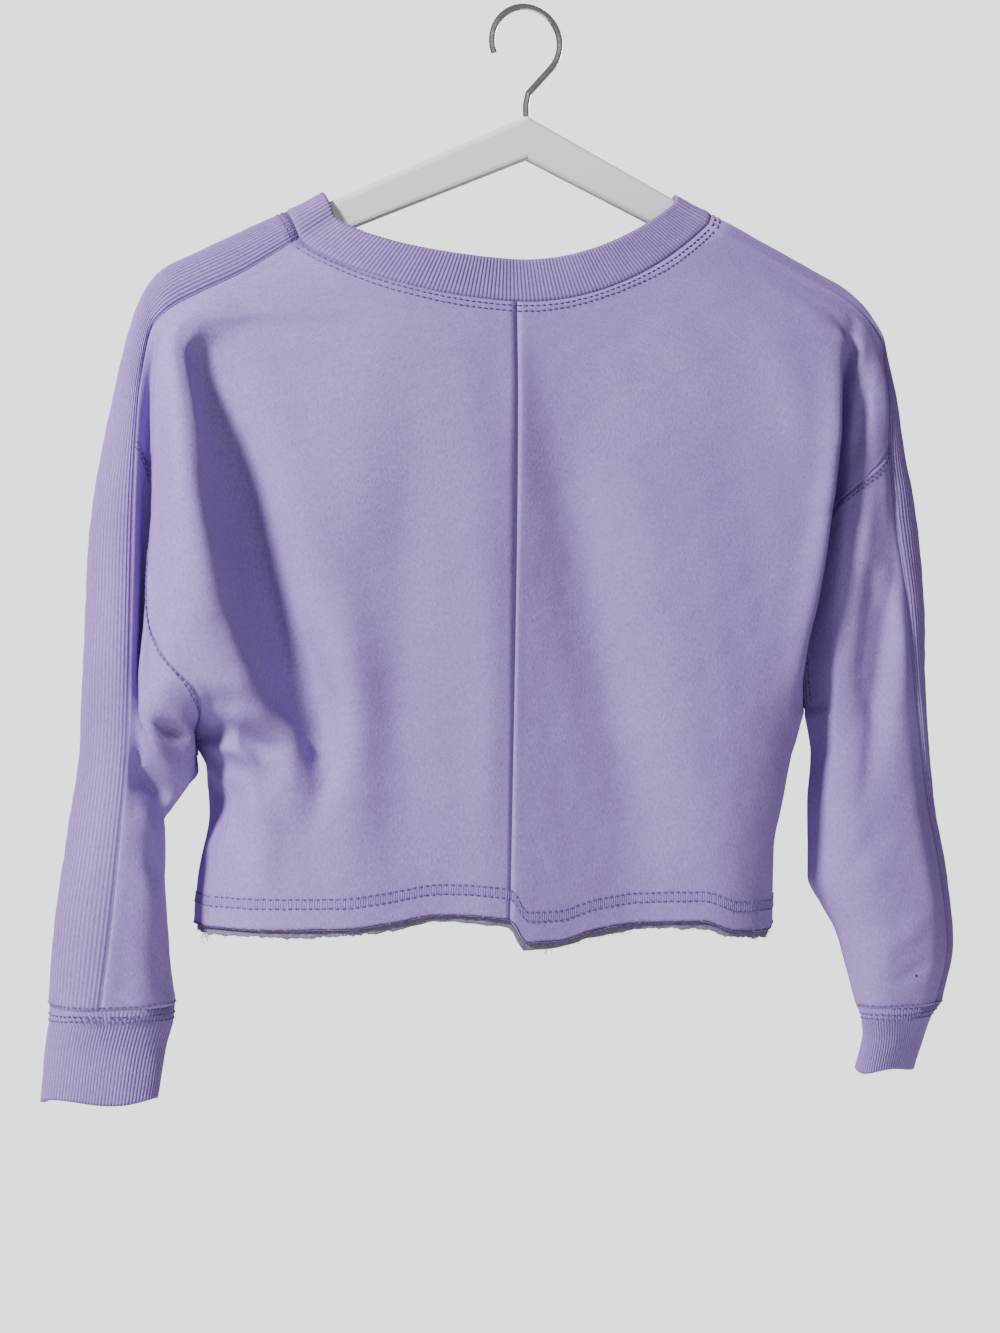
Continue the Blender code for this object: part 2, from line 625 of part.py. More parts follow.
def shared(fields, grids):
    """Unit sums of the fields at every point, the same on both sides of a seam."""
    sums = {}
    for name, field in fields.items():
        for point, value in zip(grids[name].reshape(-1, 3), field.reshape(-1, 3)):
            key = key_of(point)
            sums[key] = sums.get(key, np.zeros(3)) + value
    out = {}
    for name, grid in grids.items():
        flat = np.array([sums[key_of(point)] for point in grid.reshape(-1, 3)])
        flat /= np.linalg.norm(flat, axis=1)[:, None]
        out[name] = flat.reshape(grid.shape)
    return out


def shared_normals(grids, closed, outward, armpits):
    """Outward normals, evened out over the neighbouring points.

    An armpit is a saddle: below it is the outside, between body and sleeve.
    """
    totals = {}
    for name, grid in grids.items():
        total = face_normals(grid, name in closed)
        totals[name] = total if np.sum(total * outward[name]) > 0 else -total
    normals = shared(totals, grids)
    for _ in range(NORMAL_PASSES):
        blend = {}
        for name, field in normals.items():
            total = 2 * field
            total[1:] += field[:-1]
            total[:-1] += field[1:]
            total[:, 1:] += field[:, :-1]
            total[:, :-1] += field[:, 1:]
            if name in closed:
                total[0] += field[-1]
                total[-1] += field[0]
            blend[name] = total
        normals = shared(blend, grids)
        for name, grid in grids.items():
            for i, j in np.ndindex(grid.shape[:2]):
                if key_of(grid[i, j]) in armpits:
                    apart = -0.6 if name.startswith("sleeve") else 0.6
                    normals[name][i, j] = (apart * np.sign(grid[i, j, 0]), 0, -0.8)
    return normals


def cell_areas(points, closed):
    """The area vector of every cell of a grid."""
    if closed:
        points = np.concatenate((points, points[:1]))
    return np.cross(points[1:, 1:] - points[:-1, :-1], points[:-1, 1:] - points[1:, :-1])


def wall_shares(grids, normals, walls, closed):
    """How much of its wall each point keeps, so that no inner face folds over."""
    shares = {key_of(point): 1.0 for grid in grids.values() for point in grid.reshape(-1, 3)}
    fields = {}
    for _ in range(12):
        tight = set()
        for name, grid in grids.items():
            flat = [shares[key_of(point)] for point in grid.reshape(-1, 3)]
            fields[name] = np.array(flat).reshape(grid.shape[:2] + (1,))
            inner = grid - walls[name] * fields[name] * normals[name]
            outside = cell_areas(grid, name in closed)
            inside = cell_areas(inner, name in closed)
            keep = np.sum(outside * inside, axis=2) / np.sum(outside ** 2, axis=2)
            for i, j in np.argwhere(keep < LEAST_INNER_FACE):
                for at in ((i, j), (i + 1, j), (i, j + 1), (i + 1, j + 1)):
                    tight.add(key_of(grid[at[0] % len(grid), at[1]]))
        for key in tight:
            shares[key] = max(LEAST_WALL_SHARE, shares[key] * 0.9)
    return fields


def drawn_in(edge, inside, normals):
    """An edge moved half a seam gap into its piece, square to the seam and the wall."""
    run = np.gradient(edge, axis=0)
    run -= normals * np.sum(run * normals, axis=1)[:, None]
    run /= np.maximum(np.linalg.norm(run, axis=1), 1e-6)[:, None]
    square = np.cross(run, normals)
    inward = np.sign(np.sum(square * (inside - edge)))
    return edge + square * inward * SEAM_GAP / 2


def seam_moves(name, grid, normals, closed):
    """Moves that draw a grid's edges in by half a seam gap."""
    moves = np.zeros_like(grid)
    whole = slice(None)
    edges = [((whole, 0), (whole, 1)), ((whole, -1), (whole, -2))]
    if not closed:
        last = slice(None, FLANK_STEPS + 1) if name.startswith("sleeve") else whole
        edges += [((0, whole), (1, whole)), ((-1, last), (-2, last))]
    for edge, inside in edges:
        moves[edge] += drawn_in(grid[edge], grid[inside], normals[edge]) - grid[edge]
    return moves


def build_wall(name, sheets, material):
    """A cloth wall: sheets welded where they meet, extruded to their inner points."""
    mesh = bmesh.new()
    spot = mesh.verts.layers.int.new("spot")
    inner_points = []
    keys = []
    for grid, outer, inner, closed in sheets:
        columns, rows = outer.shape[:2]
        cells = columns if closed else columns - 1
        made = bmesh.ops.create_grid(mesh, x_segments=cells, y_segments=rows - 1, size=1)
        for vert in made["verts"]:
            i = round((vert.co.x + 1) / 2 * cells) % columns
            j = round((vert.co.y + 1) / 2 * (rows - 1))
            vert[spot] = len(inner_points) + i * rows + j
            vert.co = Vector(outer[i, j]) * MM
        inner_points.extend(inner.reshape(-1, 3))
        keys.extend(key_of(point) for point in grid.reshape(-1, 3))
    bmesh.ops.remove_doubles(mesh, verts=mesh.verts, dist=1e-6)
    bmesh.ops.triangulate(mesh, faces=mesh.faces[:], quad_method="SHORT_EDGE")
    extruded = bmesh.ops.extrude_face_region(mesh, geom=mesh.faces[:])
    far = {item for item in extruded["geom"] if isinstance(item, bmesh.types.BMVert)}
    for vert in far:
        vert.co = Vector(inner_points[vert[spot]]) * MM
    for face in mesh.faces[:]:
        near = [vert for vert in face.verts if vert not in far]
        if len(near) == 2 and len(face.verts) == 4:
            near.sort(key=lambda vert: keys[vert[spot]])
            across = [vert for vert in face.verts if vert in far and vert[spot] == near[0][spot]]
            bmesh.utils.face_split(face, near[1], across[0])
    bmesh.ops.recalc_face_normals(mesh, faces=mesh.faces)
    return add_object(name, mesh, material)


def cloth_sheets(grids, closed, walls):
    """Each piece's sheets: grid, outer points, inner points, closed or not."""
    armpits = {key_of(grid[-1, FLANK_STEPS]) for name, grid in grids.items()
               if name.startswith("sleeve")}
    normals = shared_normals(grids, closed, outward_guides(grids), armpits)
    shares = wall_shares(grids, normals, walls, closed)
    sheets = {}
    for name, grid in grids.items():
        moves = seam_moves(name, grid, normals[name], name in closed)
        piece = name.removesuffix("_back").removesuffix("_front")
        sheets.setdefault(piece, []).append((name, grid, moves))
    found = {}
    for piece, parts in sheets.items():
        joint = {}
        for _, grid, moves in parts:
            for point, move in zip(grid.reshape(-1, 3), moves.reshape(-1, 3)):
                joint.setdefault(key_of(point), []).append(move)
        found[piece] = []
        for name, grid, _ in parts:
            move = [np.mean(joint[key_of(point)], axis=0) for point in grid.reshape(-1, 3)]
            outer = grid + np.array(move).reshape(grid.shape)
            inner = outer - walls[name] * shares[name] * normals[name]
            found[piece].append((grid, outer, inner, name in closed))
    return found, normals


def add_object(name, mesh, material):
    data = bpy.data.meshes.new(name)
    mesh.to_mesh(data)
    mesh.free()
    data.shade_smooth()
    data.set_sharp_from_angle(angle=np.radians(50))
    data.materials.append(material)
    piece = bpy.data.objects.new(name, data)
    bpy.data.collections[OBJECT_NAME].objects.link(piece)
    return piece


def make_material(name, colour, roughness, metallic=0.0):
    material = bpy.data.materials.new(name)
    material.use_nodes = True
    shader = material.node_tree.nodes["Principled BSDF"]
    shader.inputs["Base Color"].default_value = colour
    shader.inputs["Roughness"].default_value = roughness
    shader.inputs["Metallic"].default_value = metallic
    return material


# ---------------------------------------------------------------- hanger
def arm_top(x):
    return ARM_TOP_Z - ARM_SLOPE * abs(x)


def build_hanger(material):
    """A flat bar that slopes down both ways, with its edges rounded."""
    mesh = bmesh.new()
    bmesh.ops.create_grid(mesh, x_segments=24, y_segments=1, size=1)
    extruded = bmesh.ops.extrude_face_region(mesh, geom=mesh.faces[:])
    far = {item for item in extruded["geom"] if isinstance(item, bmesh.types.BMVert)}
    for vert in mesh.verts:
        x = vert.co.x * ARM_REACH
        run = abs(vert.co.x)
        height = ARM_HEIGHT[0] + (ARM_HEIGHT[1] - ARM_HEIGHT[0]) * run
        thickness = ARM_THICKNESS[0] + (ARM_THICKNESS[1] - ARM_THICKNESS[0]) * run
        z = arm_top(x) - (0 if vert.co.y > 0 else height)
        y = thickness / 2 * (1 if vert in far else -1)
        vert.co = Vector((x, y, z)) * MM
    bmesh.ops.recalc_face_normals(mesh, faces=mesh.faces)
    long_edges = [edge for edge in mesh.edges if edge.calc_face_angle() > 1.0]
    bmesh.ops.bevel(
        mesh, geom=long_edges, offset=ARM_ROUNDING * MM, affect="EDGES",
        segments=3, profile=0.5, material=-1,
    )
    return add_object("hanger", mesh, material)


def build_hook(material):
    """A bent wire: a stem, then an arc over the seat."""
    radius = HOOK_INNER_RADIUS + HOOK_WIRE / 2
    centre_z = -HOOK_INNER_RADIUS
    foot = ARM_TOP_Z + SEAM_GAP
    path = [(0, foot), (0, foot + HOOK_STEM / 2), (1.5, foot + HOOK_STEM)]
    for turn in np.radians(np.linspace(-42, 200, 28)):
        path.append((radius * np.cos(turn), centre_z + radius * np.sin(turn)))
    curve = bpy.data.curves.new("hook_path", "CURVE")
    curve.dimensions = "3D"
    curve.bevel_depth = HOOK_WIRE / 2 * MM
    curve.bevel_resolution = 2
    curve.use_fill_caps = True
    spline = curve.splines.new("POLY")
    spline.points.add(len(path) - 1)
    for point, (x, z) in zip(spline.points, path):
        point.co = (x * MM, 0, z * MM, 1)
    curve.materials.append(material)
    hook = bpy.data.objects.new("hanger_hook", curve)
    bpy.data.collections[OBJECT_NAME].objects.link(hook)
    return hook


# ---------------------------------------------------------------- the part
def garment_grids():
    sides = {name: Side(name) for name in SIDES}
    grids = {}
    fronts = {}
    for name, side in sides.items():
        grids["back_" + name] = panel_grid(side, False)
        fronts[name] = panel_grid(side, True)
        grids["strip_" + name] = strip_grid(side)
        halves = sleeve_half(side, False), sleeve_half(side, True)
        halves[1][-1, FLANK_STEPS:] = halves[0][-1, FLANK_STEPS:]
        grids["sleeve_" + name + "_back"], grids["sleeve_" + name + "_front"] = halves
    grids["front"] = np.concatenate((fronts["left"][::-1], fronts["right"][1:]))
    for name, side in sides.items():
        back, front = grids["sleeve_" + name + "_back"], grids["sleeve_" + name + "_front"]
        grids["cuff_" + name] = cuff_grid(side, grids["strip_" + name], back, front)
    grids["neckband"] = neckband_grid(grids)
    return grids


def outward_guides(grids):
    """A rough outward direction at every point of each piece."""
    guides = {}
    for name, grid in grids.items():
        guide = np.zeros_like(grid)
        if name.startswith("strip"):
            guide[..., 0] = np.sign(grid[..., 0].mean())
            guide[..., 2] = 0.5
        elif name.startswith("cuff"):
            middle = grid.mean(axis=0, keepdims=True)
            guide[..., :2] = (grid - middle)[..., :2]
        elif name.startswith("sleeve"):
            guide[..., 1] = -1 if name.endswith("back") else 1
        else:
            guide[..., 1] = grid[..., 1]
        guides[name] = guide
    return guides


def main():
    for item in list(bpy.data.objects):
        bpy.data.objects.remove(item, do_unlink=True)
    parts = bpy.data.collections.new(OBJECT_NAME)
    bpy.context.scene.collection.children.link(parts)
    fleece = make_material("fleece", FLEECE_COLOUR, 0.95)
    rib = make_material("rib", RIB_COLOUR, 0.95)
    plastic = make_material("hanger_plastic", HANGER_COLOUR, 0.5)
    wire = make_material("hook_wire", HOOK_COLOUR, 0.3, 1.0)

    grids = garment_grids()
    closed = {"cuff_left", "cuff_right", "neckband"}
    ribbed = {name for name in grids if name.startswith(("strip", "cuff", "neckband"))}
    walls = {name: RIB_WALL if name in ribbed else WALL for name in grids}
    pieces, normals = cloth_sheets(grids, closed, walls)
    for name, sheets in pieces.items():
        build_wall(name, sheets, rib if name in ribbed else fleece)

    facing = {"hem_facing": facing_grid(grids, normals)}
    pieces, _ = cloth_sheets(facing, {"hem_facing"}, {"hem_facing": FACING_WALL})
    build_wall("hem_facing", pieces["hem_facing"], fleece)
    build_hanger(plastic)
    build_hook(wire)


if __name__ == "__main__":
    main()
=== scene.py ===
import bmesh
import bpy
import math
import random
import numpy as np
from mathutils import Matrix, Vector


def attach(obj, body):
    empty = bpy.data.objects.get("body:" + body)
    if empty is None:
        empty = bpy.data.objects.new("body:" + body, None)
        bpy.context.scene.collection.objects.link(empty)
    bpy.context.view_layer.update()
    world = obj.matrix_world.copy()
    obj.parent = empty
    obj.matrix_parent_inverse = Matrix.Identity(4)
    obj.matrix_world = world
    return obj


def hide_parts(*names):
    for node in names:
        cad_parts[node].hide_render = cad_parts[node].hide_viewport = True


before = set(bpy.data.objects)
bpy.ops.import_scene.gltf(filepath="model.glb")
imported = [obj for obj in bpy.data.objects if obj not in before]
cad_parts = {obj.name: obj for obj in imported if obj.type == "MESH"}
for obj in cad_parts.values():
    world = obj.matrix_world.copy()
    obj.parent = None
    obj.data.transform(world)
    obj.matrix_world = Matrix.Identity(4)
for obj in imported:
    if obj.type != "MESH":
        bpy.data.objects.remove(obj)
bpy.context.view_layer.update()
print("frame loaded")

mm = 0.001


def addObject(name, data):
    made = bpy.data.objects.new(name, data)
    bpy.context.scene.collection.objects.link(made)
    return made


# sizes in millimetres, x in the tables is the distance outwards
garment = {
    "bandHeight": 26.0, "bandLean": 3.0, "fleece": 1.7, "rib": 2.0,
    "ribDepth": 0.55, "seamDip": 0.35, "seamReach": 2.0, "seamRoll": 0.22,
    "slowWaves": (60, 0.9), "shortWaves": (17, 0.35), "calmReach": 8,
}
neckCentreX = -16.0
neckFocusZ = -58.0
backNeckZ = -184.0
frontNeckZ = -226.0
bandHeight = garment["bandHeight"]
bandLean = garment["bandLean"]

# fine steps of the cloth
acrossSteps = 88
sideSteps = 44
capSteps = 28
flankSteps = 48
yokeSteps = 50
stripAcross = 180
sleeveSteps = 130
cuffSteps = 26

# Centre seam of the back and centre line of the front: z, x, y
centreBack = (
    (-184, -16, -31), (-240, -18, -39), (-304, -20, -44), (-424, -24, -50), (-575, -28, -53),
)
centreFront = (
    (-226, -16, 36), (-300, -18, 42), (-424, -20, 48), (-575, -22, 50),
)

# Strip over the shoulder and down the sleeve.
# z of the back seam, then back x y, top x y z, front x y z
stripTable = {
    "left": (
        (-149, 146, -12, 152, 0, -132, 150, 15, -163),
        (-172, 182, -12, 186, 0, -149, 187, 15, -184),
        (-184, 206, -12, 208, 0, -160, 209, 15, -194),
        (-195, 225, -12, 226, 0, -170, 228, 15, -203),
        (-205, 234, -10, 237, 1, -184, 238, 15, -212),
        (-220, 238, -11, 245, 2, -206, 245, 16, -226),
        (-251, 243, -15, 254, 3, -247, 251, 19, -253),
        (-309, 247, -22, 266, 4, -309, 256, 25, -309),
        (-366, 249, -26, 270, 4, -366, 258, 30, -366),
        (-450, 252, -31, 273, 4, -450, 260, 36, -450),
        (-500, 257, -35, 280, 4, -500, 262, 38, -500),
        (-550, 262, -35, 288, 3, -550, 268, 36, -550),
        (-602, 268, -31, 292, 2, -602, 274, 30, -602),
    ),
    "right": (
        (-127, 118, -8, 122, 0, -119, 120, 18, -160),
        (-142, 154, -8, 157, 0, -135, 156, 18, -176),
        (-154, 180, -8, 182, 0, -147, 181, 18, -188),
        (-170, 214, -8, 215, 0, -163, 214, 17, -202),
        (-186, 233, -6, 233, 4, -178, 233, 18, -216),
        (-200, 240, -6, 243, 6, -194, 242, 20, -228),
        (-234, 240, -14, 251, 6, -232, 246, 27, -246),
        (-269, 238, -18, 257, 6, -268, 247, 31, -274),
        (-300, 239, -22, 264, 6, -300, 248, 33, -302),
        (-362, 247, -25, 269, 6, -362, 250, 34, -362),
        (-425, 254, -24, 270, 6, -425, 252, 34, -425),
        (-490, 266, -16, 277, 7, -490, 257, 34, -490),
        (-537, 277, -13, 287, 8, -537, 263, 34, -537),
        (-585, 283, -11, 292, 8, -585, 267, 32, -585),
        (-622, 276, -8, 284, 5, -622, 262, 20, -622),
    ),
}

# Back of the body and sleeve above the armpit.
# z, then x y of mid, trough, crest, seam, face, edge, notch
yokeBack = {
    "left": (
        (-149, 75, -25, 115, -19, 130, -16, 134, -15, 137, -14, 140, -13, 143, -12.5),
        (-172, 80, -32, 140, -24, 160, -19, 166, -17, 171, -15, 175, -14, 178, -13),
        (-184, 85, -34, 156, -25, 182, -20, 189, -18.5, 194, -17, 198, -15.5, 202, -13.5),
        (-195, 90, -36, 172, -26, 200, -22, 207, -21, 212, -19, 216, -17, 220, -14),
        (-205, 93, -38, 188, -22, 211, -25, 219, -25, 224, -23, 228, -19, 231, -14),
        (-225, 98, -40, 202, -21, 221, -34, 228, -36, 232, -34, 234, -28, 232, -16),
        (-251, 105, -42, 199, -24, 219, -45, 228, -47, 234, -44, 237, -36, 233, -18),
        (-309, 118, -45, 190, -30, 214, -55, 225, -57, 233, -53, 238, -43, 234, -20),
        (-366, 122, -47, 174, -34, 206, -60, 221, -61, 234, -55, 242, -42, 237, -20),
        (-411, 122, -48, 157, -37, 196, -61, 214, -58, 236, -54, 247, -40, 241, -22),
        (-430, 120, -48, 153, -39, 191, -54, 209, -42, 228, -48, 247, -39, 243, -24),
        (-450, 118, -49, 150, -42, 189, -42, 205, 4, 213, -33, 240, -38, 244, -26),
    ),
    "right": (
        (-127, 45, -20, 70, -16, 90, -13, 98, -11, 104, -10, 109, -9, 113, -8.5),
        (-142, 47, -23, 80, -19, 110, -15, 122, -13, 132, -11.5, 140, -10.5, 148, -9),
        (-154, 50, -26, 90, -22, 130, -17, 145, -14, 155, -12, 164, -10, 172, -9),
        (-172, 45, -29, 100, -28, 166, -22, 183, -18, 194, -15, 203, -12, 210, -10),
        (-186, 40, -31, 103, -31, 186, -26, 203, -20, 214, -17, 222, -14, 228, -10),
        (-200, 35, -32, 106, -34, 203, -26, 212, -18, 219, -18, 227, -15, 234, -11),
        (-230, 32, -34, 108, -38, 199, -33, 206, -14, 214, -19, 225, -22, 234, -20),
        (-269, 28, -36, 108, -42, 191, -39, 198, -14, 208, -23, 220, -27, 231, -24),
        (-300, 26, -37, 106, -44, 186, -41, 193, -14, 203, -27, 216, -30, 229, -28),
        (-331, 28, -38, 105, -45, 181, -41, 188, -13, 200, -30, 216, -31, 232, -27),
        (-362, 31, -39, 106, -46, 176, -41, 184, -12, 198, -31, 224, -26, 237, -29),
        (-400, 36, -40, 110, -47, 170, -39, 181, -8, 197, -30, 221, -26, 241, -29),
        (-432, 40, -41, 113, -47, 168, -34, 187, 0, 197, -26, 218, -27, 242, -29),
    ),
}

# Back of the body below the armpit: z, then x y of mid, trough, crest, side
bodyBack = {
    "left": (
        (-466, 120, -49, 148, -45, 182, -41, 199, -6),
        (-483, 120, -50, 150, -46, 177, -40, 190, -18),
        (-504, 118, -50, 150, -45, 177, -38, 194, -20),
        (-544, 115, -51, 145, -47, 178, -38, 202, -15),
        (-575, 112, -51, 142, -48, 178, -38, 203, -12),
    ),
    "right": (
        (-450, 42, -42, 113, -47, 162, -33, 182, 0),
        (-470, 44, -42, 112, -47, 158, -33, 175, 0),
        (-495, 48, -42, 110, -47, 152, -34, 170, 0),
        (-520, 52, -42, 108, -47, 148, -34, 166, 0),
        (-575, 58, -42, 105, -47, 146, -32, 165, 0),
    ),
}

# Back of the sleeve below the armpit: z, then x y of inner, face, edge, notch
sleeveBack = {
    "left": (
        (-466, 203, 6, 210, -22, 232, -33, 244, -27),
        (-480, 214, 6, 218, -15, 229, -26, 243, -29),
        (-495, 224, 4, 227, -14, 234, -26, 245, -33),
        (-541, 224, 2, 226, -14, 233, -27, 245, -34),
        (-571, 222, 0, 224, -13, 232, -26, 247, -33),
        (-604, 218, -2, 221, -13, 231, -24, 248, -31),
    ),
    "right": (
        (-460, 191, 0, 198, -22, 216, -28, 243, -28),
        (-490, 189, 0, 197, -21, 217, -29, 247, -28),
        (-537, 189, 0, 199, -22, 222, -31, 256, -29),
        (-555, 198, 0, 206, -23, 228, -31, 260, -29),
        (-572, 208, 0, 214, -21, 232, -30, 262, -28),
        (-590, 214, 0, 219, -19, 235, -27, 262, -26),
        (-624, 224, 0, 227, -13, 240, -18, 260, -16),
    ),
}

# Front of the body above the armpit: z, then x y of mid, turn, edge, seam, bulge
yokeFront = {
    "left": (
        (-163, 80, 26, 115, 20, 130, 18, 138, 17, 144, 16),
        (-184, 88, 30, 140, 25, 163, 20.5, 173, 18, 180, 16.5),
        (-194, 92, 32, 150, 27, 180, 21, 193, 18, 201, 16.5),
        (-203, 95, 34, 160, 28, 192, 22, 209, 18, 219, 16),
        (-226, 100, 37, 175, 33, 210, 26, 224, 18, 236, 17),
        (-260, 105, 40, 180, 38, 211, 34, 218, 17, 236, 24),
        (-309, 108, 43, 180, 43, 208, 40, 214, 16, 236, 32),
        (-366, 110, 45, 178, 46, 203, 42, 211, 14, 236, 37),
        (-420, 110, 47, 174, 46, 198, 36, 208, 10, 235, 40),
        (-450, 110, 48, 170, 44, 192, 30, 205, 4, 232, 40),
    ),
    "right": (
        (-160, 45, 28, 85, 23, 100, 21, 106, 20, 113, 19),
        (-176, 54, 30, 106, 25, 127, 22, 139, 20, 148, 19),
        (-188, 60, 32, 125, 27, 150, 23, 162, 20, 172, 19),
        (-202, 66, 34, 142, 30, 173, 25, 191, 20, 204, 19),
        (-216, 70, 36, 155, 32, 195, 26, 210, 20, 223, 19),
        (-246, 75, 39, 165, 38, 196, 33, 205, 18, 228, 26),
        (-300, 80, 43, 160, 44, 188, 39, 195, 17, 222, 36),
        (-362, 82, 46, 155, 47, 178, 42, 186, 14, 220, 40),
        (-410, 82, 47, 150, 47, 172, 36, 183, 9, 218, 41),
        (-432, 82, 48, 148, 46, 172, 28, 187, 0, 218, 40),
    ),
}

# Front of the body below the armpit: z, then x y of mid, turn, edge
bodyFront = {
    "left": (
        (-470, 110, 48, 170, 42, 195, 20),
        (-490, 110, 49, 170, 41, 195, 14),
        (-524, 110, 49, 172, 41, 201, 14),
        (-575, 110, 49, 174, 41, 206, 14),
    ),
    "right": (
        (-460, 82, 48, 145, 44, 168, 26),
        (-495, 80, 48, 138, 43, 160, 26),
        (-520, 80, 48, 135, 42, 156, 26),
        (-575, 80, 47, 132, 40, 154, 24),
    ),
}

# Front of the sleeve below the armpit: z, then x y of bulge
sleeveFront = {
    "left": (
        (-450, 232, 40), (-466, 230, 41), (-495, 238, 39), (-541, 239, 36), (-604, 236, 24),
    ),
    "right": (
        (-432, 218, 40), (-460, 220, 39), (-537, 222, 38), (-572, 233, 34), (-624, 240, 17),
    ),
}

# Armhole seam on the back: place along the section, z. First its cap, then its flank.
armholeBack = {
    "left": (((1.0, -270), (0.94, -282), (0.88, -305), (0.8, -340)),
             ((0.8, -340), (0.74, -372), (0.66, -398), (0.58, -420), (0.56, -450))),
    "right": (((1.0, -262), (0.9, -271), (0.78, -282), (0.64, -299)),
              ((0.64, -299), (0.58, -325), (0.56, -355), (0.56, -390), (0.56, -432))),
}
# Armhole seam on the front
armholeFront = {
    "left": (((1.0, -271), (0.86, -284), (0.68, -300)),
             ((0.68, -300), (0.61, -330), (0.6, -380), (0.6, -450))),
    "right": (((1.0, -274), (0.86, -286), (0.68, -300)),
              ((0.68, -300), (0.61, -330), (0.6, -370), (0.6, -432))),
}

# Raw bottom edge: x along the hanger, z. It steps down beside the centre seam.
hemBack = (
    (-206, -557), (-170, -558), (-130, -558), (-100, -555), (-71, -551), (-28, -555),
    (-16, -569), (3, -569), (31, -563), (64, -560), (97, -560),
    (122, -567), (151, -568), (166, -565),
)
hemFront = ((-206, -557), (-120, -560), (-20, -556), (80, -560), (166, -565))

# Cuffs below the sleeve's end.
# z, centre x y, half width, half depth, turn in degrees
cuffTable = {
    "left": (
        (-612, 256, 0, 36, 25, -14), (-630, 260, -1, 35, 19, -16), (-657, 264, -3, 34, 16, -17),
    ),
    "right": (
        (-630, 255, 6, 29, 19, 30), (-645, 257, 15, 28, 17, 36), (-666, 257, 27, 28, 17, 40),
    ),
}

sides = {"left": -1.0, "right": 1.0}
backKnots = (0.0, 0.16, 0.32, 0.46, 0.56, 0.66, 0.76, 0.88, 1.0)
frontKnots = (0.0, 0.2, 0.38, 0.5, 0.6, 0.8, 1.0)
backSeamPlace = 0.56
frontSeamPlace = 0.6
sectionLength = 160.0
neckRoundness = {"left": 0.75, "right": 0.0}
ovalCut = 0.96
hemZ = -560.0
cuffWave = 1.5

# smooth rows
# slopes at the knots of a curve that never overshoots its rows
def slopes(step, rise):
    slope = np.zeros(rise.shape[:-2] + (rise.shape[-2] + 1, rise.shape[-1]))
    slope[..., 0, :], slope[..., -1, :] = rise[..., 0, :], rise[..., -1, :]
    before, after = rise[..., :-1, :], rise[..., 1:, :]
    same = before * after > 0
    total = np.where(same, before + after, 1)
    slope[..., 1:-1, :] = np.where(same, 2 * before * after / total, 0)
    return slope


# a point on each of n curves through the knots, at its own place
def along(knots, curves, at):
    knots, at = np.asarray(knots, float), np.clip(at, knots[0], knots[-1])
    step = np.diff(knots)
    slope = slopes(step, np.diff(curves, axis=1) / step[:, None])
    cell = np.clip(np.searchsorted(knots, at, side="right") - 1, 0, len(step) - 1)
    every = np.arange(len(at))
    width = step[cell][:, None]
    t = ((at - knots[cell]) / step[cell])[:, None]
    return ((1 + 2 * t) * (1 - t) ** 2 * curves[every, cell]
            + t * (1 - t) ** 2 * width * slope[every, cell]
            + t * t * (3 - 2 * t) * curves[every, cell + 1]
            + t * t * (t - 1) * width * slope[every, cell + 1])


# points of one curve through values at rising keys
def smooth(keys, values, at):
    at = np.atleast_1d(np.asarray(at, float))
    values = np.asarray(values, float).reshape(len(keys), -1)
    return along(keys, np.broadcast_to(values, (len(at),) + values.shape), at)


# the columns of a table whose rows start with z, at heights z
def rowsAt(rows, z):
    table = np.asarray(rows, float)[::-1]
    return smooth(table[:, 0], table[:, 1:], z)


# columns x y x y ... as points
def pairs(columns):
    return columns.reshape(len(columns), -1, 2)


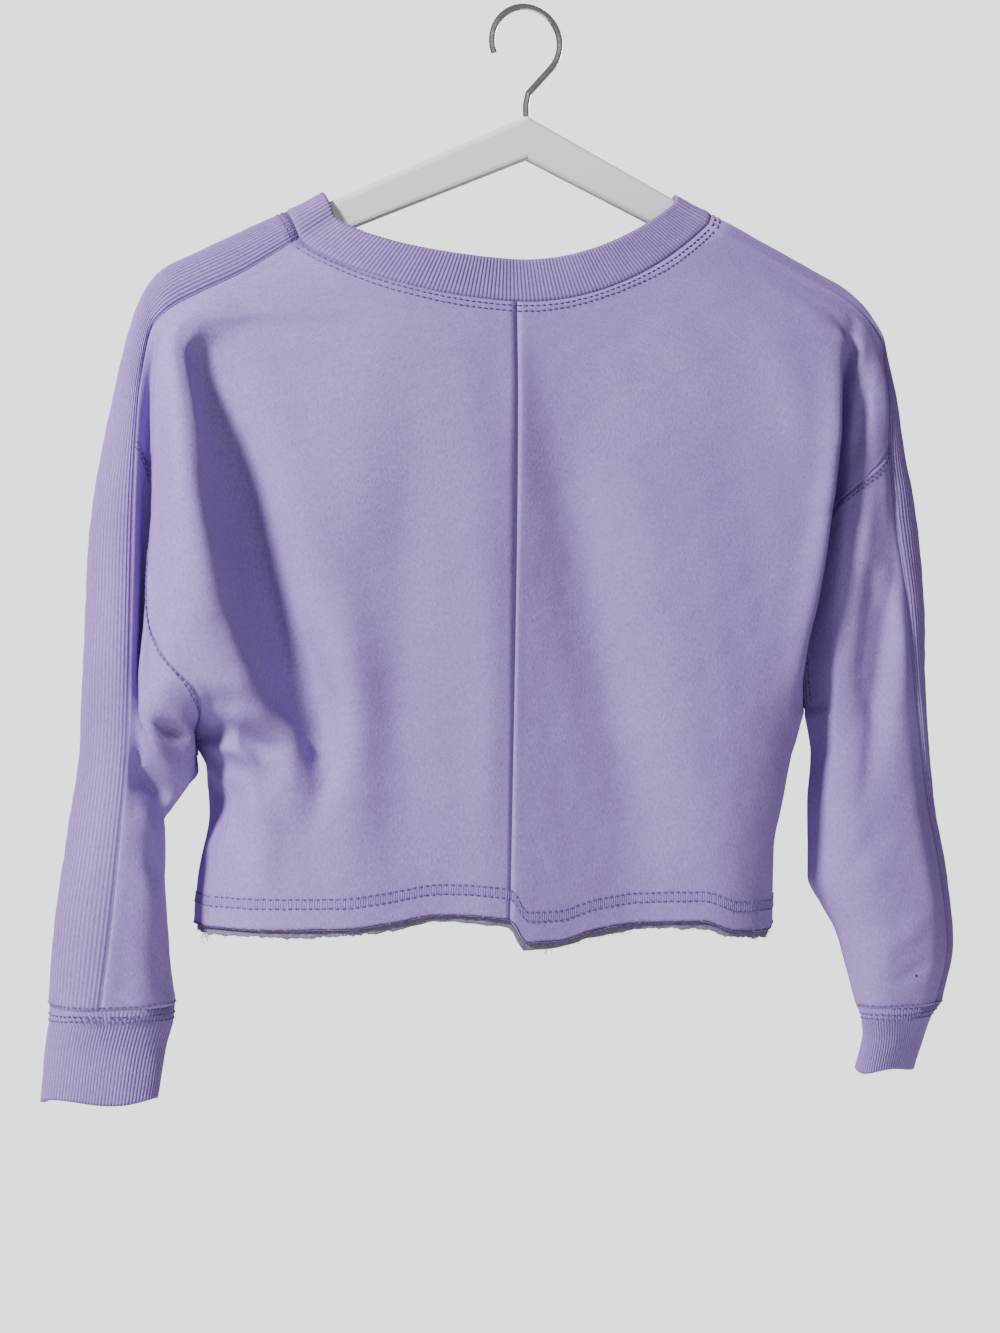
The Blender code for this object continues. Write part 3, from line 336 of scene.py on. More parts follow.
# one half of the garment: its section curves and seams
class Side:

    def __init__(self, name):
        self.name = name
        self.sign = sides[name]
        yoke, front = yokeBack[name], yokeFront[name]
        self.armpitZ = yoke[-1][0]
        self.cuffZ = stripTable[name][-1][0]
        self.body = [row[:7] for row in yoke] + [row[:7] for row in bodyBack[name]]
        self.outer = ([(row[0],) + row[9:] for row in yoke]
                      + [(row[0],) + row[3:] for row in sleeveBack[name]])
        self.seam = [(row[0], row[7], row[8]) for row in yoke]
        self.side = self.seam[-1:] + [(row[0], row[7], row[8]) for row in bodyBack[name]]
        self.inner = self.seam[-1:] + [row[:3] for row in sleeveBack[name]]
        self.frontBody = [row[:7] for row in front] + list(bodyFront[name])
        self.frontSeam = [(row[0], row[7], row[8]) for row in front]
        self.frontBulge = [(row[0], row[9], row[10]) for row in front]

    def place(self, points):
        out = np.array(points, float)
        out[..., 0] *= self.sign
        return out

    def centre(self, rows, z):
        return pairs(rowsAt(rows, z) * (self.sign, 1))

    def stripAt(self, z):
        return rowsAt(stripTable[self.name], z)

    # front seam x y of the strip at its own height, found by halving
    def stripFrontAt(self, frontZ):
        high = np.full(len(frontZ), float(stripTable[self.name][0][0]))
        low = np.full(len(frontZ), float(self.cuffZ))
        for _ in range(45):
            middle = (high + low) / 2
            above = self.stripAt(middle)[:, 7] > frontZ
            high = np.where(above, middle, high)
            low = np.where(above, low, middle)
        return pairs(self.stripAt((high + low) / 2)[:, 5:7])

    # points above the armpit by one rule, and below it by another
    def split(self, place, z, whole, lower):
        place, z = np.ravel(place).astype(float), np.ravel(z).astype(float)
        out = np.zeros((len(z), 3))
        out[:, 2] = z
        for rule, chosen in ((whole, z >= self.armpitZ), (lower, z < self.armpitZ)):
            if chosen.any():
                knots, curves = rule(z[chosen])
                out[chosen, :2] = along(knots, curves, place[chosen])
        return out

    # a surface at places along the section: part is body or sleeve
    def surfacePoints(self, place, z, part, front):
        knots = frontKnots if front else backKnots
        middle, body = (centreFront, self.frontBody) if front else (centreBack, self.body)
        seam, bulge = (self.frontSeam, self.frontBulge) if front else (self.seam, self.outer)
        lowBulge = sleeveFront[self.name] if front else self.outer

        def strip(level):
            return self.stripFrontAt(level) if front else pairs(self.stripAt(level)[:, :2])

        def bodyCurves(level, edge):
            return [self.centre(middle, level), pairs(rowsAt(body, level)),
                    pairs(rowsAt(edge, level))]

        def whole(level):
            curves = bodyCurves(level, seam) + [pairs(rowsAt(bulge, level)), strip(level)]
            return knots, np.concatenate(curves, axis=1)

        def lower(level):
            if part == "body":
                return knots[:5], np.concatenate(bodyCurves(level, self.side), axis=1)
            curves = [pairs(rowsAt(self.inner, level)), pairs(rowsAt(lowBulge, level)),
                      strip(level)]
            return knots[4:], np.concatenate(curves, axis=1)

        return self.split(place, z, whole, lower)


# seam lines
# height of the neck seam at x outwards
def neckHeight(side, x, front):
    strip = stripTable[side.name][0]
    cornerX = strip[6] if front else strip[1]
    cornerZ = strip[8] if front else strip[0]
    low = frontNeckZ if front else backNeckZ
    middle = neckCentreX * side.sign
    u = np.clip((x - middle) / (cornerX - middle), 0, 1)
    roundness = neckRoundness[side.name]
    oval = (1 - np.sqrt(1 - ovalCut * u ** 2)) / (1 - np.sqrt(1 - ovalCut))
    return low + (cornerZ - low) * ((1 - roundness) * u ** 2 + roundness * oval)


def hemHeight(x, front):
    rows = hemFront if front else hemBack
    keys = [row[0] for row in rows]
    return smooth(keys, [row[1] for row in rows], x)[:, 0]


# places and heights of the armhole seam, from its top to the armpit
def armhole(side, front):
    found = []
    parts = (armholeFront if front else armholeBack)[side.name]
    for part, steps in zip(parts, (capSteps, flankSteps)):
        rows = np.array(part, float)
        if front and not found:
            rows[0, 1] = frontLevel(side, armholeBack[side.name][0][0][1])[0]
        chords = np.hypot(np.diff(rows[:, 0]) * sectionLength, np.diff(rows[:, 1]))
        run = np.concatenate(([0], np.cumsum(chords)))
        found.append(smooth(run, rows, np.linspace(0, run[-1], steps + 1)))
    return np.vstack((found[0], found[1][1:]))


# heights of the strip's back seam: neck to armhole, and armhole to cuff
def stripLevels(side):
    top = stripTable[side.name][0][0]
    armholeTop = armholeBack[side.name][0][0][1]
    upper = top + (armholeTop - top) * np.linspace(0, 1, yokeSteps + 1) ** 0.8
    lower = np.linspace(armholeTop, side.cuffZ, sleeveSteps + 1)
    return upper, lower


def frontLevel(side, z):
    return side.stripAt(z)[:, 7]


# a patch of one value from its four edges: first and last column, start and end row
def blendEdges(first, last, start, end):
    q = np.linspace(0, 1, len(start))[:, None]
    v = np.linspace(0, 1, len(first))[None, :]
    across = (1 - q) * first + q * last
    upright = (1 - v) * start[:, None] + v * end[:, None]
    corners = ((1 - q) * ((1 - v) * first[0] + v * first[-1])
               + q * ((1 - v) * last[0] + v * last[-1]))
    return across + upright - corners


# places and heights down the side edge of a half panel, from the hem up
def panelEdge(side, front):
    upper = stripLevels(side)[0][::-1]
    yokeZ = frontLevel(side, upper) if front else upper
    sideX = rowsAt(side.side, hemZ)[0, 0] * side.sign
    sideZ = np.linspace(hemHeight(sideX, False)[0], side.armpitZ, sideSteps + 1)
    seamPlace = frontSeamPlace if front else backSeamPlace
    holes = armhole(side, front)[::-1]
    place = np.concatenate((np.full(sideSteps, seamPlace), holes[:-1, 0],
                            np.ones(len(yokeZ))))
    return place, np.concatenate((sideZ[:-1], holes[:-1, 1], yokeZ))


# a half body panel: columns from the centre to the side, rows from the hem up
def panelGrid(side, front):
    seamPlace = frontSeamPlace if front else backSeamPlace
    edgePlace, edgeZ = panelEdge(side, front)
    sideX = rowsAt(side.side, hemZ)[0, 0] * side.sign
    neckZ = frontNeckZ if front else backNeckZ
    centreX = rowsAt(centreFront if front else centreBack, hemZ)[0, 0]
    middleHem = hemHeight(centreX, front)[0]

    q = np.linspace(0, 1, acrossSteps + 1)
    topZ = np.full(len(q), float(neckZ))
    for _ in range(80):
        topX = side.surfacePoints(q, topZ, "body", front)[:, 0]
        topZ = topZ + 0.25 * (neckHeight(side, topX, front) - topZ)
    bottom = side.surfacePoints(q * seamPlace, np.full(len(q), hemZ), "body", front)
    bottomX = bottom[:, 0] * side.sign
    bottomZ = hemHeight(bottomX, front) + (edgeZ[0] - hemHeight(sideX, front)) * q
    share = np.linspace(0, 1, len(edgeZ))
    for name in sides:
        height = panelEdge(Side(name), front)[1]
        share = share + (height - height[0]) / (height[-1] - height[0]) / 2
    middle = middleHem + (neckZ - middleHem) * share / 2
    z = blendEdges(middle, edgeZ, bottomZ, topZ)
    points = side.surfacePoints(q[:, None] * edgePlace, z, "body", front)
    return side.place(points.reshape(z.shape + (3,)))


# half a sleeve: columns from the strip to the inner line, rows from the cap down
def sleeveHalf(side, front):
    seamPlace = frontSeamPlace if front else backSeamPlace
    levels = stripLevels(side)[1]
    outerZ = frontLevel(side, levels) if front else levels
    hole = armhole(side, front)
    cap, flank = hole[:capSteps + 1], hole[capSteps:]
    lower = sleeveSteps - flankSteps
    innerZ = np.append(flank[:, 1], np.linspace(side.armpitZ, side.cuffZ, lower + 1)[1:])
    innerPlace = np.append(flank[:, 0], np.full(lower, seamPlace))
    endZ = np.linspace(outerZ[-1], side.cuffZ, capSteps + 1)
    endPlace = np.linspace(1, seamPlace, capSteps + 1)
    z = blendEdges(outerZ, innerZ, cap[:, 1], endZ)
    place = blendEdges(np.ones(len(levels)), innerPlace, cap[:, 0], endPlace)
    points = side.surfacePoints(place, z, "sleeve", front)
    return side.place(points.reshape(z.shape + (3,)))


# the ribbed strip: columns across it, rows from the neck to the cuff
def stripGrid(side):
    upper, lower = stripLevels(side)
    levels = np.concatenate((upper, lower[1:]))
    rows = side.stripAt(levels)
    back = np.column_stack((rows[:, 0], rows[:, 1], levels))
    line = np.stack((back, rows[:, 2:5], rows[:, 5:8]), axis=1)
    grid = []
    for place in np.linspace(-1, 1, stripAcross + 1):
        turn = abs(place) * np.pi / 2
        edge = line[:, 0] if place < 0 else line[:, 2]
        share = np.array((1 - np.cos(turn), np.sin(turn), 1 - np.cos(turn)))
        grid.append(line[:, 1] + (edge - line[:, 1]) * share)
    return side.place(np.array(grid))


# rings
# the cuff: columns round the sleeve's end, rows down to the free edge
def cuffGrid(side, strip, back, front):
    loop = np.vstack((strip[:-1, -1], front[:-1, -1], back[::-1][:-1, -1]))
    rows = cuffTable[side.name]
    grid = np.zeros((len(loop), cuffSteps + 1, 3))
    grid[:, 0] = loop
    levels = np.linspace(rows[0][0], rows[-1][0], cuffSteps)
    x, y, halfWidth, halfDepth, turn = rowsAt(rows, levels[0])[0]
    turn = np.radians(turn)
    offX, offY = loop[:, 0] - x * side.sign, loop[:, 1] - y
    angle = np.unwrap(np.arctan2(
        (offY * np.cos(turn) - offX * np.sin(turn)) / halfDepth,
        (offX * np.cos(turn) + offY * np.sin(turn)) / halfWidth,
    ))
    angle = side.sign * np.maximum.accumulate(side.sign * angle)
    for j, z in enumerate(levels, start=1):
        x, y, halfWidth, halfDepth, turn = rowsAt(rows, z)[0]
        x, turn = x * side.sign, np.radians(turn)
        localX, localY = halfWidth * np.cos(angle), halfDepth * np.sin(angle)
        wave = cuffWave * (j / cuffSteps) ** 2 * np.cos(3 * angle + 0.6)
        grid[:, j, 0] = x + localX * np.cos(turn) - localY * np.sin(turn)
        grid[:, j, 1] = y + localX * np.sin(turn) + localY * np.cos(turn)
        grid[:, j, 2] = z + wave
    return grid


# the neckband: columns round the neck seam, rows up to its free edge
def neckbandGrid(grids):
    left, right = grids["back_left"][:, -1], grids["back_right"][:, -1]
    front = grids["front"][:, -1]
    loop = np.vstack((
        left[:-1], grids["strip_left"][:-1, 0], front[:-1],
        grids["strip_right"][::-1][:-1, 0], right[::-1][:-1],
    ))
    toward = np.zeros_like(loop)
    toward[:, 0] = neckCentreX - loop[:, 0]
    toward[:, 2] = neckFocusZ - loop[:, 2]
    toward /= np.linalg.norm(toward, axis=1)[:, None]
    lean = -bandLean * loop[:, 1] / np.abs(loop[:, 1]).max()
    grid = np.zeros((len(loop), 3, 3))
    for j, part in enumerate((0.0, 0.5, 1.0)):
        grid[:, j] = loop + toward * bandHeight * part
        grid[:, j, 1] += lean * part
    return grid


# every sheet's points, in millimetres
def garmentGrids():
    halves = {name: Side(name) for name in sides}
    grids = {}
    fronts = {}
    for name, side in halves.items():
        grids["back_" + name] = panelGrid(side, False)
        fronts[name] = panelGrid(side, True)
        grids["strip_" + name] = stripGrid(side)
        back, front = sleeveHalf(side, False), sleeveHalf(side, True)
        front[-1, flankSteps:] = back[-1, flankSteps:]
        grids["sleeve_" + name + "_back"], grids["sleeve_" + name + "_front"] = back, front
        grids["cuff_" + name] = cuffGrid(side, grids["strip_" + name], back, front)
    grids["front"] = np.concatenate((fronts["left"][::-1], fronts["right"][1:]))
    grids["neckband"] = neckbandGrid(grids)
    return grids


# surface helpers
def cellAreas(points):
    return np.cross(points[1:, 1:] - points[:-1, :-1], points[:-1, 1:] - points[1:, :-1])


# unit normals of a sheet, turned to the side that its guide names
def sheetNormals(grid, closed, guide):
    points = np.concatenate((grid, grid[:1])) if closed else grid
    cell = cellAreas(points)
    total = np.zeros(points.shape)
    for stepI in (0, 1):
        for stepJ in (0, 1):
            total[stepI:stepI + cell.shape[0], stepJ:stepJ + cell.shape[1]] += cell
    if closed:
        total[0] += total[-1]
        total = total[:-1]
    if np.sum(total * guide) < 0:
        total = -total
    return total / np.maximum(np.linalg.norm(total, axis=2), 1e-9)[..., None]


# length of cloth along one axis of a sheet, from its first edge
def runAlong(grid, axis):
    step = np.linalg.norm(np.diff(grid, axis=axis), axis=2)
    pad = np.zeros_like(np.take(step, [0], axis=axis))
    return np.concatenate((pad, np.cumsum(step, axis=axis)), axis=axis)


# a closed sheet with evenly spaced columns and more rows
def resampled(grid, columns, rows):
    ring = np.concatenate((grid, grid[:1]))
    run = np.concatenate(([0], np.cumsum(np.linalg.norm(np.diff(ring[:, 0], axis=0), axis=1))))
    places = np.linspace(0, run[-1], columns, endpoint=False)
    out = np.zeros((columns, grid.shape[1], 3))
    for j in range(grid.shape[1]):
        for axis in range(3):
            out[:, j, axis] = np.interp(places, run, ring[:, j, axis])
    old = np.linspace(0, 1, grid.shape[1])
    new = np.linspace(0, 1, rows + 1)
    fine = np.zeros((columns, rows + 1, 3))
    for i in range(columns):
        fine[i] = smooth(old, out[i], new)
    return fine


# how far each point lies from the sewn edges of its sheet
def seamDistance(grid, sewn, closed):
    far = np.full(grid.shape[:2], 1e3)
    if not closed:
        acrossRun = runAlong(grid, 0)
        if "first" in sewn:
            far = np.minimum(far, acrossRun)
        if "last" in sewn:
            far = np.minimum(far, acrossRun[-1] - acrossRun)
    downRun = runAlong(grid, 1)
    if "start" in sewn:
        far = np.minimum(far, downRun)
    if "end" in sewn:
        far = np.minimum(far, downRun[:, -1:] - downRun)
    return far


# smooth random relief of a sheet, from a few slow waves
def softWaves(points, size, seed):
    rng = random.Random(seed)
    total = np.zeros(points.shape[:2])
    for _ in range(9):
        turn = rng.uniform(0, math.pi)
        reach = size * rng.uniform(0.7, 1.6)
        flat = points[..., 0] * math.cos(turn) + points[..., 2] * math.sin(turn)
        flat = flat + 0.6 * points[..., 1]
        total += np.sin(2 * math.pi * flat / reach + rng.uniform(0, 6.28))
    return total / 9


# a trough or ridge along a line of x z points, fading at both ends
def creaseField(points, line, width, height):
    line = np.array(line, float)
    flat = points[..., [0, 2]]
    best = np.full(points.shape[:2], 1e9)
    place = np.zeros(points.shape[:2])
    lengths = np.linalg.norm(np.diff(line, axis=0), axis=1)
    before = 0.0
    for start, end, length in zip(line[:-1], line[1:], lengths):
        way = (end - start) / length
        t = np.clip(np.sum((flat - start) * way, axis=2), 0, length)
        near = np.linalg.norm(flat - start - t[..., None] * way, axis=2)
        closer = near < best
        best = np.where(closer, near, best)
        place = np.where(closer, before + t, place)
        before += length
    u = place / before
    fade = np.sin(np.pi * np.clip(u, 0.02, 0.98)) ** 0.6
    return height * fade * np.exp(-(best / width) ** 2)


# materials
def newMaterial(name):
    material = bpy.data.materials.new(name)
    material.use_nodes = True
    nodes = material.node_tree.nodes
    return material, nodes, material.node_tree.links, nodes["Principled BSDF"]


def addNode(nodes, kind, **inputs):
    node = nodes.new(kind)
    for key, value in inputs.items():
        node.inputs[key.replace("_", " ")].default_value = value
    return node


def addNoise(nodes, links, vector, **inputs):
    noise = addNode(nodes, "ShaderNodeTexNoise", **inputs)
    links.new(vector, noise.inputs["Vector"])
    return noise.outputs["Fac"]


# a colour ramp from two places with their colours
def addRamp(nodes, links, value, low, high):
    ramp = nodes.new("ShaderNodeValToRGB")
    for element, (position, colour) in zip(ramp.color_ramp.elements, (low, high)):
        element.position = position
        element.color = colour + (1,)
    links.new(value, ramp.inputs["Fac"])
    return ramp.outputs["Color"]


def multiplied(nodes, links, first, second):
    mix = nodes.new("ShaderNodeMixRGB")
    mix.blend_type = "MULTIPLY"
    mix.inputs["Fac"].default_value = 1.0
    links.new(first, mix.inputs["Color1"])
    links.new(second, mix.inputs["Color2"])
    return mix.outputs["Color"]


# napped knit cloth: marl, nap bump, pills and slow colour drift; with relief on, painted shade
# darkens the rib valleys
def clothMaterial(name, look):
    material, nodes, links, shader = newMaterial(name)
    coords = nodes.new("ShaderNodeTexCoord")
    onCloth = coords.outputs["Object"]
    speckle = addNoise(nodes, links, onCloth, Scale=look["marlScale"], Detail=4.0, Roughness=0.7)
    if look["wale"]:
        stretch = nodes.new("ShaderNodeMapping")
        stretch.inputs["Scale"].default_value = look["waleScale"]
        links.new(coords.outputs["UV"], stretch.inputs["Vector"])
        wale = addNoise(nodes, links, stretch.outputs["Vector"], Scale=1.0, Detail=2.0)
        blendWale = nodes.new("ShaderNodeMix")
        blendWale.inputs["Factor"].default_value = look["wale"]
        links.new(speckle, blendWale.inputs["A"])
        links.new(wale, blendWale.inputs["B"])
        speckle = blendWale.outputs["Result"]
    marl = addRamp(nodes, links, speckle, (0.36, look["dark"]), (0.66, look["light"]))
    drift = addNoise(nodes, links, onCloth, Scale=look["driftScale"], Detail=2.0)
    driftColour = addRamp(nodes, links, drift, (0.3, (0.9, 0.89, 0.91)), (0.7, (1, 1, 1)))
    colour = multiplied(nodes, links, marl, driftColour)
    # painted shade: the colour darkens where the rib relief is low, in the valleys between the ribs
    if look["relief"]:
        relief = nodes.new("ShaderNodeAttribute")
        relief.attribute_name = "relief"
        shade = addRamp(nodes, links, relief.outputs["Fac"],
                        (0.0, (0.62, 0.6, 0.65)), (0.75, (1, 1, 1)))
        colour = multiplied(nodes, links, colour, shade)
    links.new(colour, shader.inputs["Base Color"])
    nap = addNoise(nodes, links, onCloth, Scale=look["napScale"], Detail=6.0, Roughness=0.75)
    pills = addNode(nodes, "ShaderNodeTexVoronoi", Scale=look["pillScale"])
    links.new(onCloth, pills.inputs["Vector"])
    pillHeight = addRamp(nodes, links, pills.outputs["Distance"],
                         (0.0, (1, 1, 1)), (0.3, (0, 0, 0)))
    height = nodes.new("ShaderNodeMath")
    height.operation = "MULTIPLY_ADD"
    height.inputs[1].default_value = look["pills"]
    links.new(pillHeight, height.inputs[0])
    links.new(nap, height.inputs[2])
    bump = addNode(nodes, "ShaderNodeBump", Strength=look["bump"], Distance=look["bumpDepth"])
    links.new(height.outputs["Value"], bump.inputs["Height"])
    links.new(bump.outputs["Normal"], shader.inputs["Normal"])
    shader.inputs["Roughness"].default_value = look["roughness"]
    shader.inputs["Sheen Weight"].default_value = look["sheen"]
    shader.inputs["Sheen Roughness"].default_value = 0.45
    shader.inputs["Sheen Tint"].default_value = look["light"] + (1,)
    shader.inputs["Specular IOR Level"].default_value = 0.12
    return material


fleeceLook = {
    "dark": (0.262, 0.165, 0.455), "light": (0.362, 0.248, 0.592), "marlScale": 560.0,
    "driftScale": 14.0, "napScale": 900.0, "pillScale": 260.0, "pills": 0.45, "bump": 0.4,
    "bumpDepth": 0.0009, "roughness": 0.95, "sheen": 0.12, "relief": False,
    "wale": 0.5, "waleScale": (1300, 320, 1),
}
# relief=True paints shade into the rib valleys
ribLook = dict(fleeceLook, dark=(0.245, 0.158, 0.425), light=(0.345, 0.238, 0.56),
               marlScale=620.0, bump=0.3, bumpDepth=0.0007, pills=0.2, relief=True)
rawLook = dict(fleeceLook, dark=(0.12, 0.10, 0.16), light=(0.31, 0.27, 0.37),
               marlScale=700.0, bump=0.8)
threadLook = dict(fleeceLook, wale=0, dark=(0.10, 0.06, 0.19), light=(0.20, 0.14, 0.36), bump=0.2)
paleLook = dict(threadLook, dark=(0.33, 0.23, 0.55), light=(0.46, 0.34, 0.70))
# painted shade: near-black, darker than the sewing thread; on the cut edge it stands for the thread
# and the shadow under the outer layer, and it also colours the dark fleck
darkThreadAndEdgeShadeLook = dict(threadLook, dark=(0.03, 0.02, 0.07), light=(0.08, 0.06, 0.16))
frayLook = dict(threadLook, dark=(0.34, 0.32, 0.36), light=(0.6, 0.58, 0.62))
fleece = clothMaterial("fleeceCloth", fleeceLook)
ribCloth = clothMaterial("ribCloth", ribLook)
rawCloth = clothMaterial("rawCloth", rawLook)
thread = clothMaterial("sewingThread", threadLook)
paleThread = clothMaterial("paleThread", paleLook)
darkThreadAndEdgeShade = clothMaterial("darkThreadAndEdgeShade", darkThreadAndEdgeShadeLook)
frayFibre = clothMaterial("frayFibre", frayLook)


# extruding lists its new parts in any order, so they are put in one that every run repeats
def sortByPlace(mesh):
    weights = Vector((1.0, 31.7, 1009.3))
    mesh.verts.sort(key=lambda vert: vert.co.dot(weights))
    mesh.edges.sort(key=lambda edge: (edge.verts[0].co + edge.verts[1].co).dot(weights))
    mesh.faces.sort(key=lambda face: face.calc_center_median().dot(weights))


# a shell from one or two sheets: outer points in millimetres, thickened inwards
def buildShell(name, sheets, thickness, material, ribDepth=0):
    mesh = bmesh.new()
    uvLayer = mesh.loops.layers.uv.new("UVMap")
    reliefLayer = mesh.verts.layers.float.new("relief")
    outwardLayer = mesh.verts.layers.float_vector.new("outward")
    uvs = {}
    for points, relief, closed, outward in sheets:
        columns, rows = points.shape[:2]
        cells = columns if closed else columns - 1
        made = bmesh.ops.create_grid(mesh, x_segments=cells, y_segments=rows - 1, size=1)
        u, v = runAlong(points, 0) * mm, runAlong(points, 1) * mm
        u = u - u[len(u) // 2]
        for vert in made["verts"]:
            i = round((vert.co.x + 1) / 2 * cells)
            j = round((vert.co.y + 1) / 2 * (rows - 1))
            vert.co = Vector(points[i % columns, j]) * mm
            vert[reliefLayer] = relief[i % columns, j]
            vert[outwardLayer] = outward[i % columns, j]
            uvs[vert] = (u[min(i, columns - 1), j], v[i % columns, j])
    for face in mesh.faces:
        for loop in face.loops:
            loop[uvLayer].uv = uvs[loop.vert]
    bmesh.ops.remove_doubles(mesh, verts=mesh.verts, dist=2e-6)
    bmesh.ops.recalc_face_normals(mesh, faces=mesh.faces)
    mesh.normal_update()
    outwardArea = sum(face.normal.dot(face.verts[0][outwardLayer]) * face.calc_area()
                      for face in mesh.faces)
    if outwardArea < 0:
        bmesh.ops.reverse_faces(mesh, faces=mesh.faces)
    if ribDepth:  # the inside of the rib lies smooth, so it can't fold over itself
        made = bmesh.ops.extrude_face_region(mesh, geom=mesh.faces[:], use_keep_orig=True)
        for vert in made["geom"]:
            if isinstance(vert, bmesh.types.BMVert):
                depth = thickness + ribDepth * (vert[reliefLayer] - 0.5)
                vert.co -= vert[outwardLayer] * depth * mm
        bmesh.ops.recalc_face_normals(mesh, faces=mesh.faces)
        sortByPlace(mesh)
    mesh.verts.layers.float_vector.remove(outwardLayer)
    data = bpy.data.meshes.new(name)
    mesh.to_mesh(data)
    mesh.free()
    data.shade_smooth()
    data.materials.append(material)
    piece = addObject(name, data)
    if not ribDepth:
        shell = piece.modifiers.new("wall", "SOLIDIFY")
        shell.thickness = thickness * mm
        shell.offset = -1
        shell.use_rim = True
    return piece


# garment sheets with their relief
print("sheets")
grids = garmentGrids()
ringColumns = {"neckband": 1680, "cuff_left": 516, "cuff_right": 432}
for name, columns in ringColumns.items():
    grids[name] = resampled(grids[name], columns, 12 if name == "neckband" else 24)

# creases: x z points, width, height (minus is a trough)
creases = {
    "back_left": (
        (((-206, -206), (-190, -262), (-176, -330), (-160, -400), (-146, -452)), 13, -5.5),
        (((-196, -196), (-170, -250), (-150, -320), (-128, -400), (-112, -470)), 15, 2.6),
        (((-226, -226), (-222, -300), (-208, -370), (-184, -420)), 8, 2.4),
        (((-198, -400), (-180, -428), (-158, -446), (-146, -480)), 8, 4.2),
        (((-150, -380), (-138, -420), (-136, -462), (-148, -500)), 7, -4.0),
        (((-214, -436), (-196, -441), (-180, -452), (-170, -470)), 5, -3.0),
        (((-206, -448), (-188, -452), (-170, -462)), 4, 2.6),
        (((-200, -458), (-184, -466), (-170, -482)), 5, -2.4),
        (((-186, -462), (-172, -500), (-176, -540)), 8, 1.8),
        (((-128, -350), (-118, -430), (-124, -520)), 12, 2.4),
        (((-82, -240), (-90, -340), (-94, -440), (-94, -530)), 17, -3.2),
        (((-50, -215), (-42, -300), (-36, -420), (-42, -545)), 16, 2.6),
        (((-196, -176), (-184, -190), (-168, -196)), 6, -1.4),
        (((-140, -150), (-132, -166), (-112, -178)), 6, 1.2),
    ),
    "back_right": (
        (((-10, -200), (9, -279), (31, -376), (51, -473), (60, -550)), 18, -3.6),
        (((30, -190), (52, -290), (78, -400), (96, -540)), 22, 2.2),
        (((100, -180), (122, -240), (136, -330), (130, -430)), 20, -1.4),
        (((150, -190), (165, -240), (170, -300)), 11, 2.0),
        (((207, -196), (204, -232), (199, -280), (191, -337)), 5, -3.4),
        (((194, -210), (190, -260), (182, -320), (172, -380)), 7, 2.0),
        (((222, -225), (216, -252), (208, -280)), 4, -1.8),
    ),
    "sleeve_left_back": (
        (((-236, -452), (-226, -462), (-214, -470)), 5, -2.4),
        (((-240, -478), (-230, -486), (-220, -490)), 4, 1.8),
        (((-244, -500), (-236, -520), (-228, -532)), 6, -1.8),
        (((-236, -560), (-230, -585), (-226, -604)), 6, -1.5),
    ),
    "sleeve_right_back": (
        (((220, -285), (212, -340), (206, -400), (206, -450)), 6, 2.4),
        (((243, -330), (234, -361), (228, -400), (222, -450), (214, -500)), 6, -3.6),
        (((250, -340), (244, -380), (238, -430), (236, -490)), 7, 2.2),
        (((214, -410), (222, -432), (232, -444)), 5, -1.6),
        (((230, -500), (216, -520), (204, -536)), 7, -1.8),
        (((262, -560), (244, -575), (226, -584)), 7, 1.5),
        (((266, -590), (248, -600), (234, -606)), 5, -1.5),
    ),
    "sleeve_left_front": (
        (((-250, -440), (-240, -470), (-226, -486)), 7, -1.8),
        (((-256, -500), (-240, -520), (-228, -528)), 8, 1.5),
        (((-262, -560), (-250, -585), (-236, -598)), 7, -1.5),
    ),
    "sleeve_right_front": (
        (((236, -360), (226, -400), (218, -440)), 8, -1.8),
        (((250, -470), (236, -500), (222, -512)), 8, 1.6),
        (((262, -560), (250, -585), (236, -602)), 7, -1.4),
    ),
    "front": (
        (((-150, -240), (-146, -330), (-150, -420)), 16, -2.4),
        (((-100, -280), (-96, -400), (-92, -540)), 20, 2.0),
        (((-30, -260), (-34, -380), (-30, -540)), 24, -1.8),
        (((40, -250), (50, -380), (48, -540)), 22, 1.8),
        (((110, -230), (116, -330), (112, -440)), 18, -2.2),
        (((-160, -440), (-140, -470), (-128, -510)), 9, 1.8),
        (((150, -420), (132, -452), (122, -490)), 9, -1.8),
    ),
}

# deep folds that cross seams: x z points, width, depth into the cloth (minus stands out)
deepFolds = {
    "left": (
        (((-232, -212), (-236, -260), (-238, -320), (-240, -380), (-242, -430)), 5, 12),
        (((-256, -250), (-262, -330), (-262, -400), (-262, -450)), 9, -4),
        (((-222, -240), (-220, -320), (-214, -380), (-203, -428)), 12, -6),
        (((-184, -280), (-160, -380), (-143, -432), (-146, -478)), 11, 8.5),
        (((-210, -428), (-207, -446), (-209, -480)), 4, 12),
        (((-200, -430), (-182, -434), (-162, -446), (-158, -478)), 8, -6),
        (((-240, -436), (-228, -441), (-219, -445)), 3.5, 6),
        (((-243, -418), (-240, -446), (-230, -460), (-216, -470)), 6, -7),
        (((-244, -462), (-234, -476), (-226, -498)), 7, 13),
    ),
    "right": (
        (((214, -186), (208, -215), (203, -245), (196, -290), (188, -345), (176, -400),
          (170, -428)), 5, 9),
        (((196, -215), (188, -270), (178, -330), (166, -390), (160, -425)), 9, -3.5),
    ),
}


def deepLift(name, points):
    side = "left" if "left" in name else "right"
    depth = sum(creaseField(points, *fold) for fold in deepFolds[side])
    if name.startswith("strip"):
        middle = points.shape[0] // 2
        share = np.clip(1 - np.arange(points.shape[0]) / middle, 0, 1)
        depth = depth * (share * share * (3 - 2 * share))[:, None]
    return depth


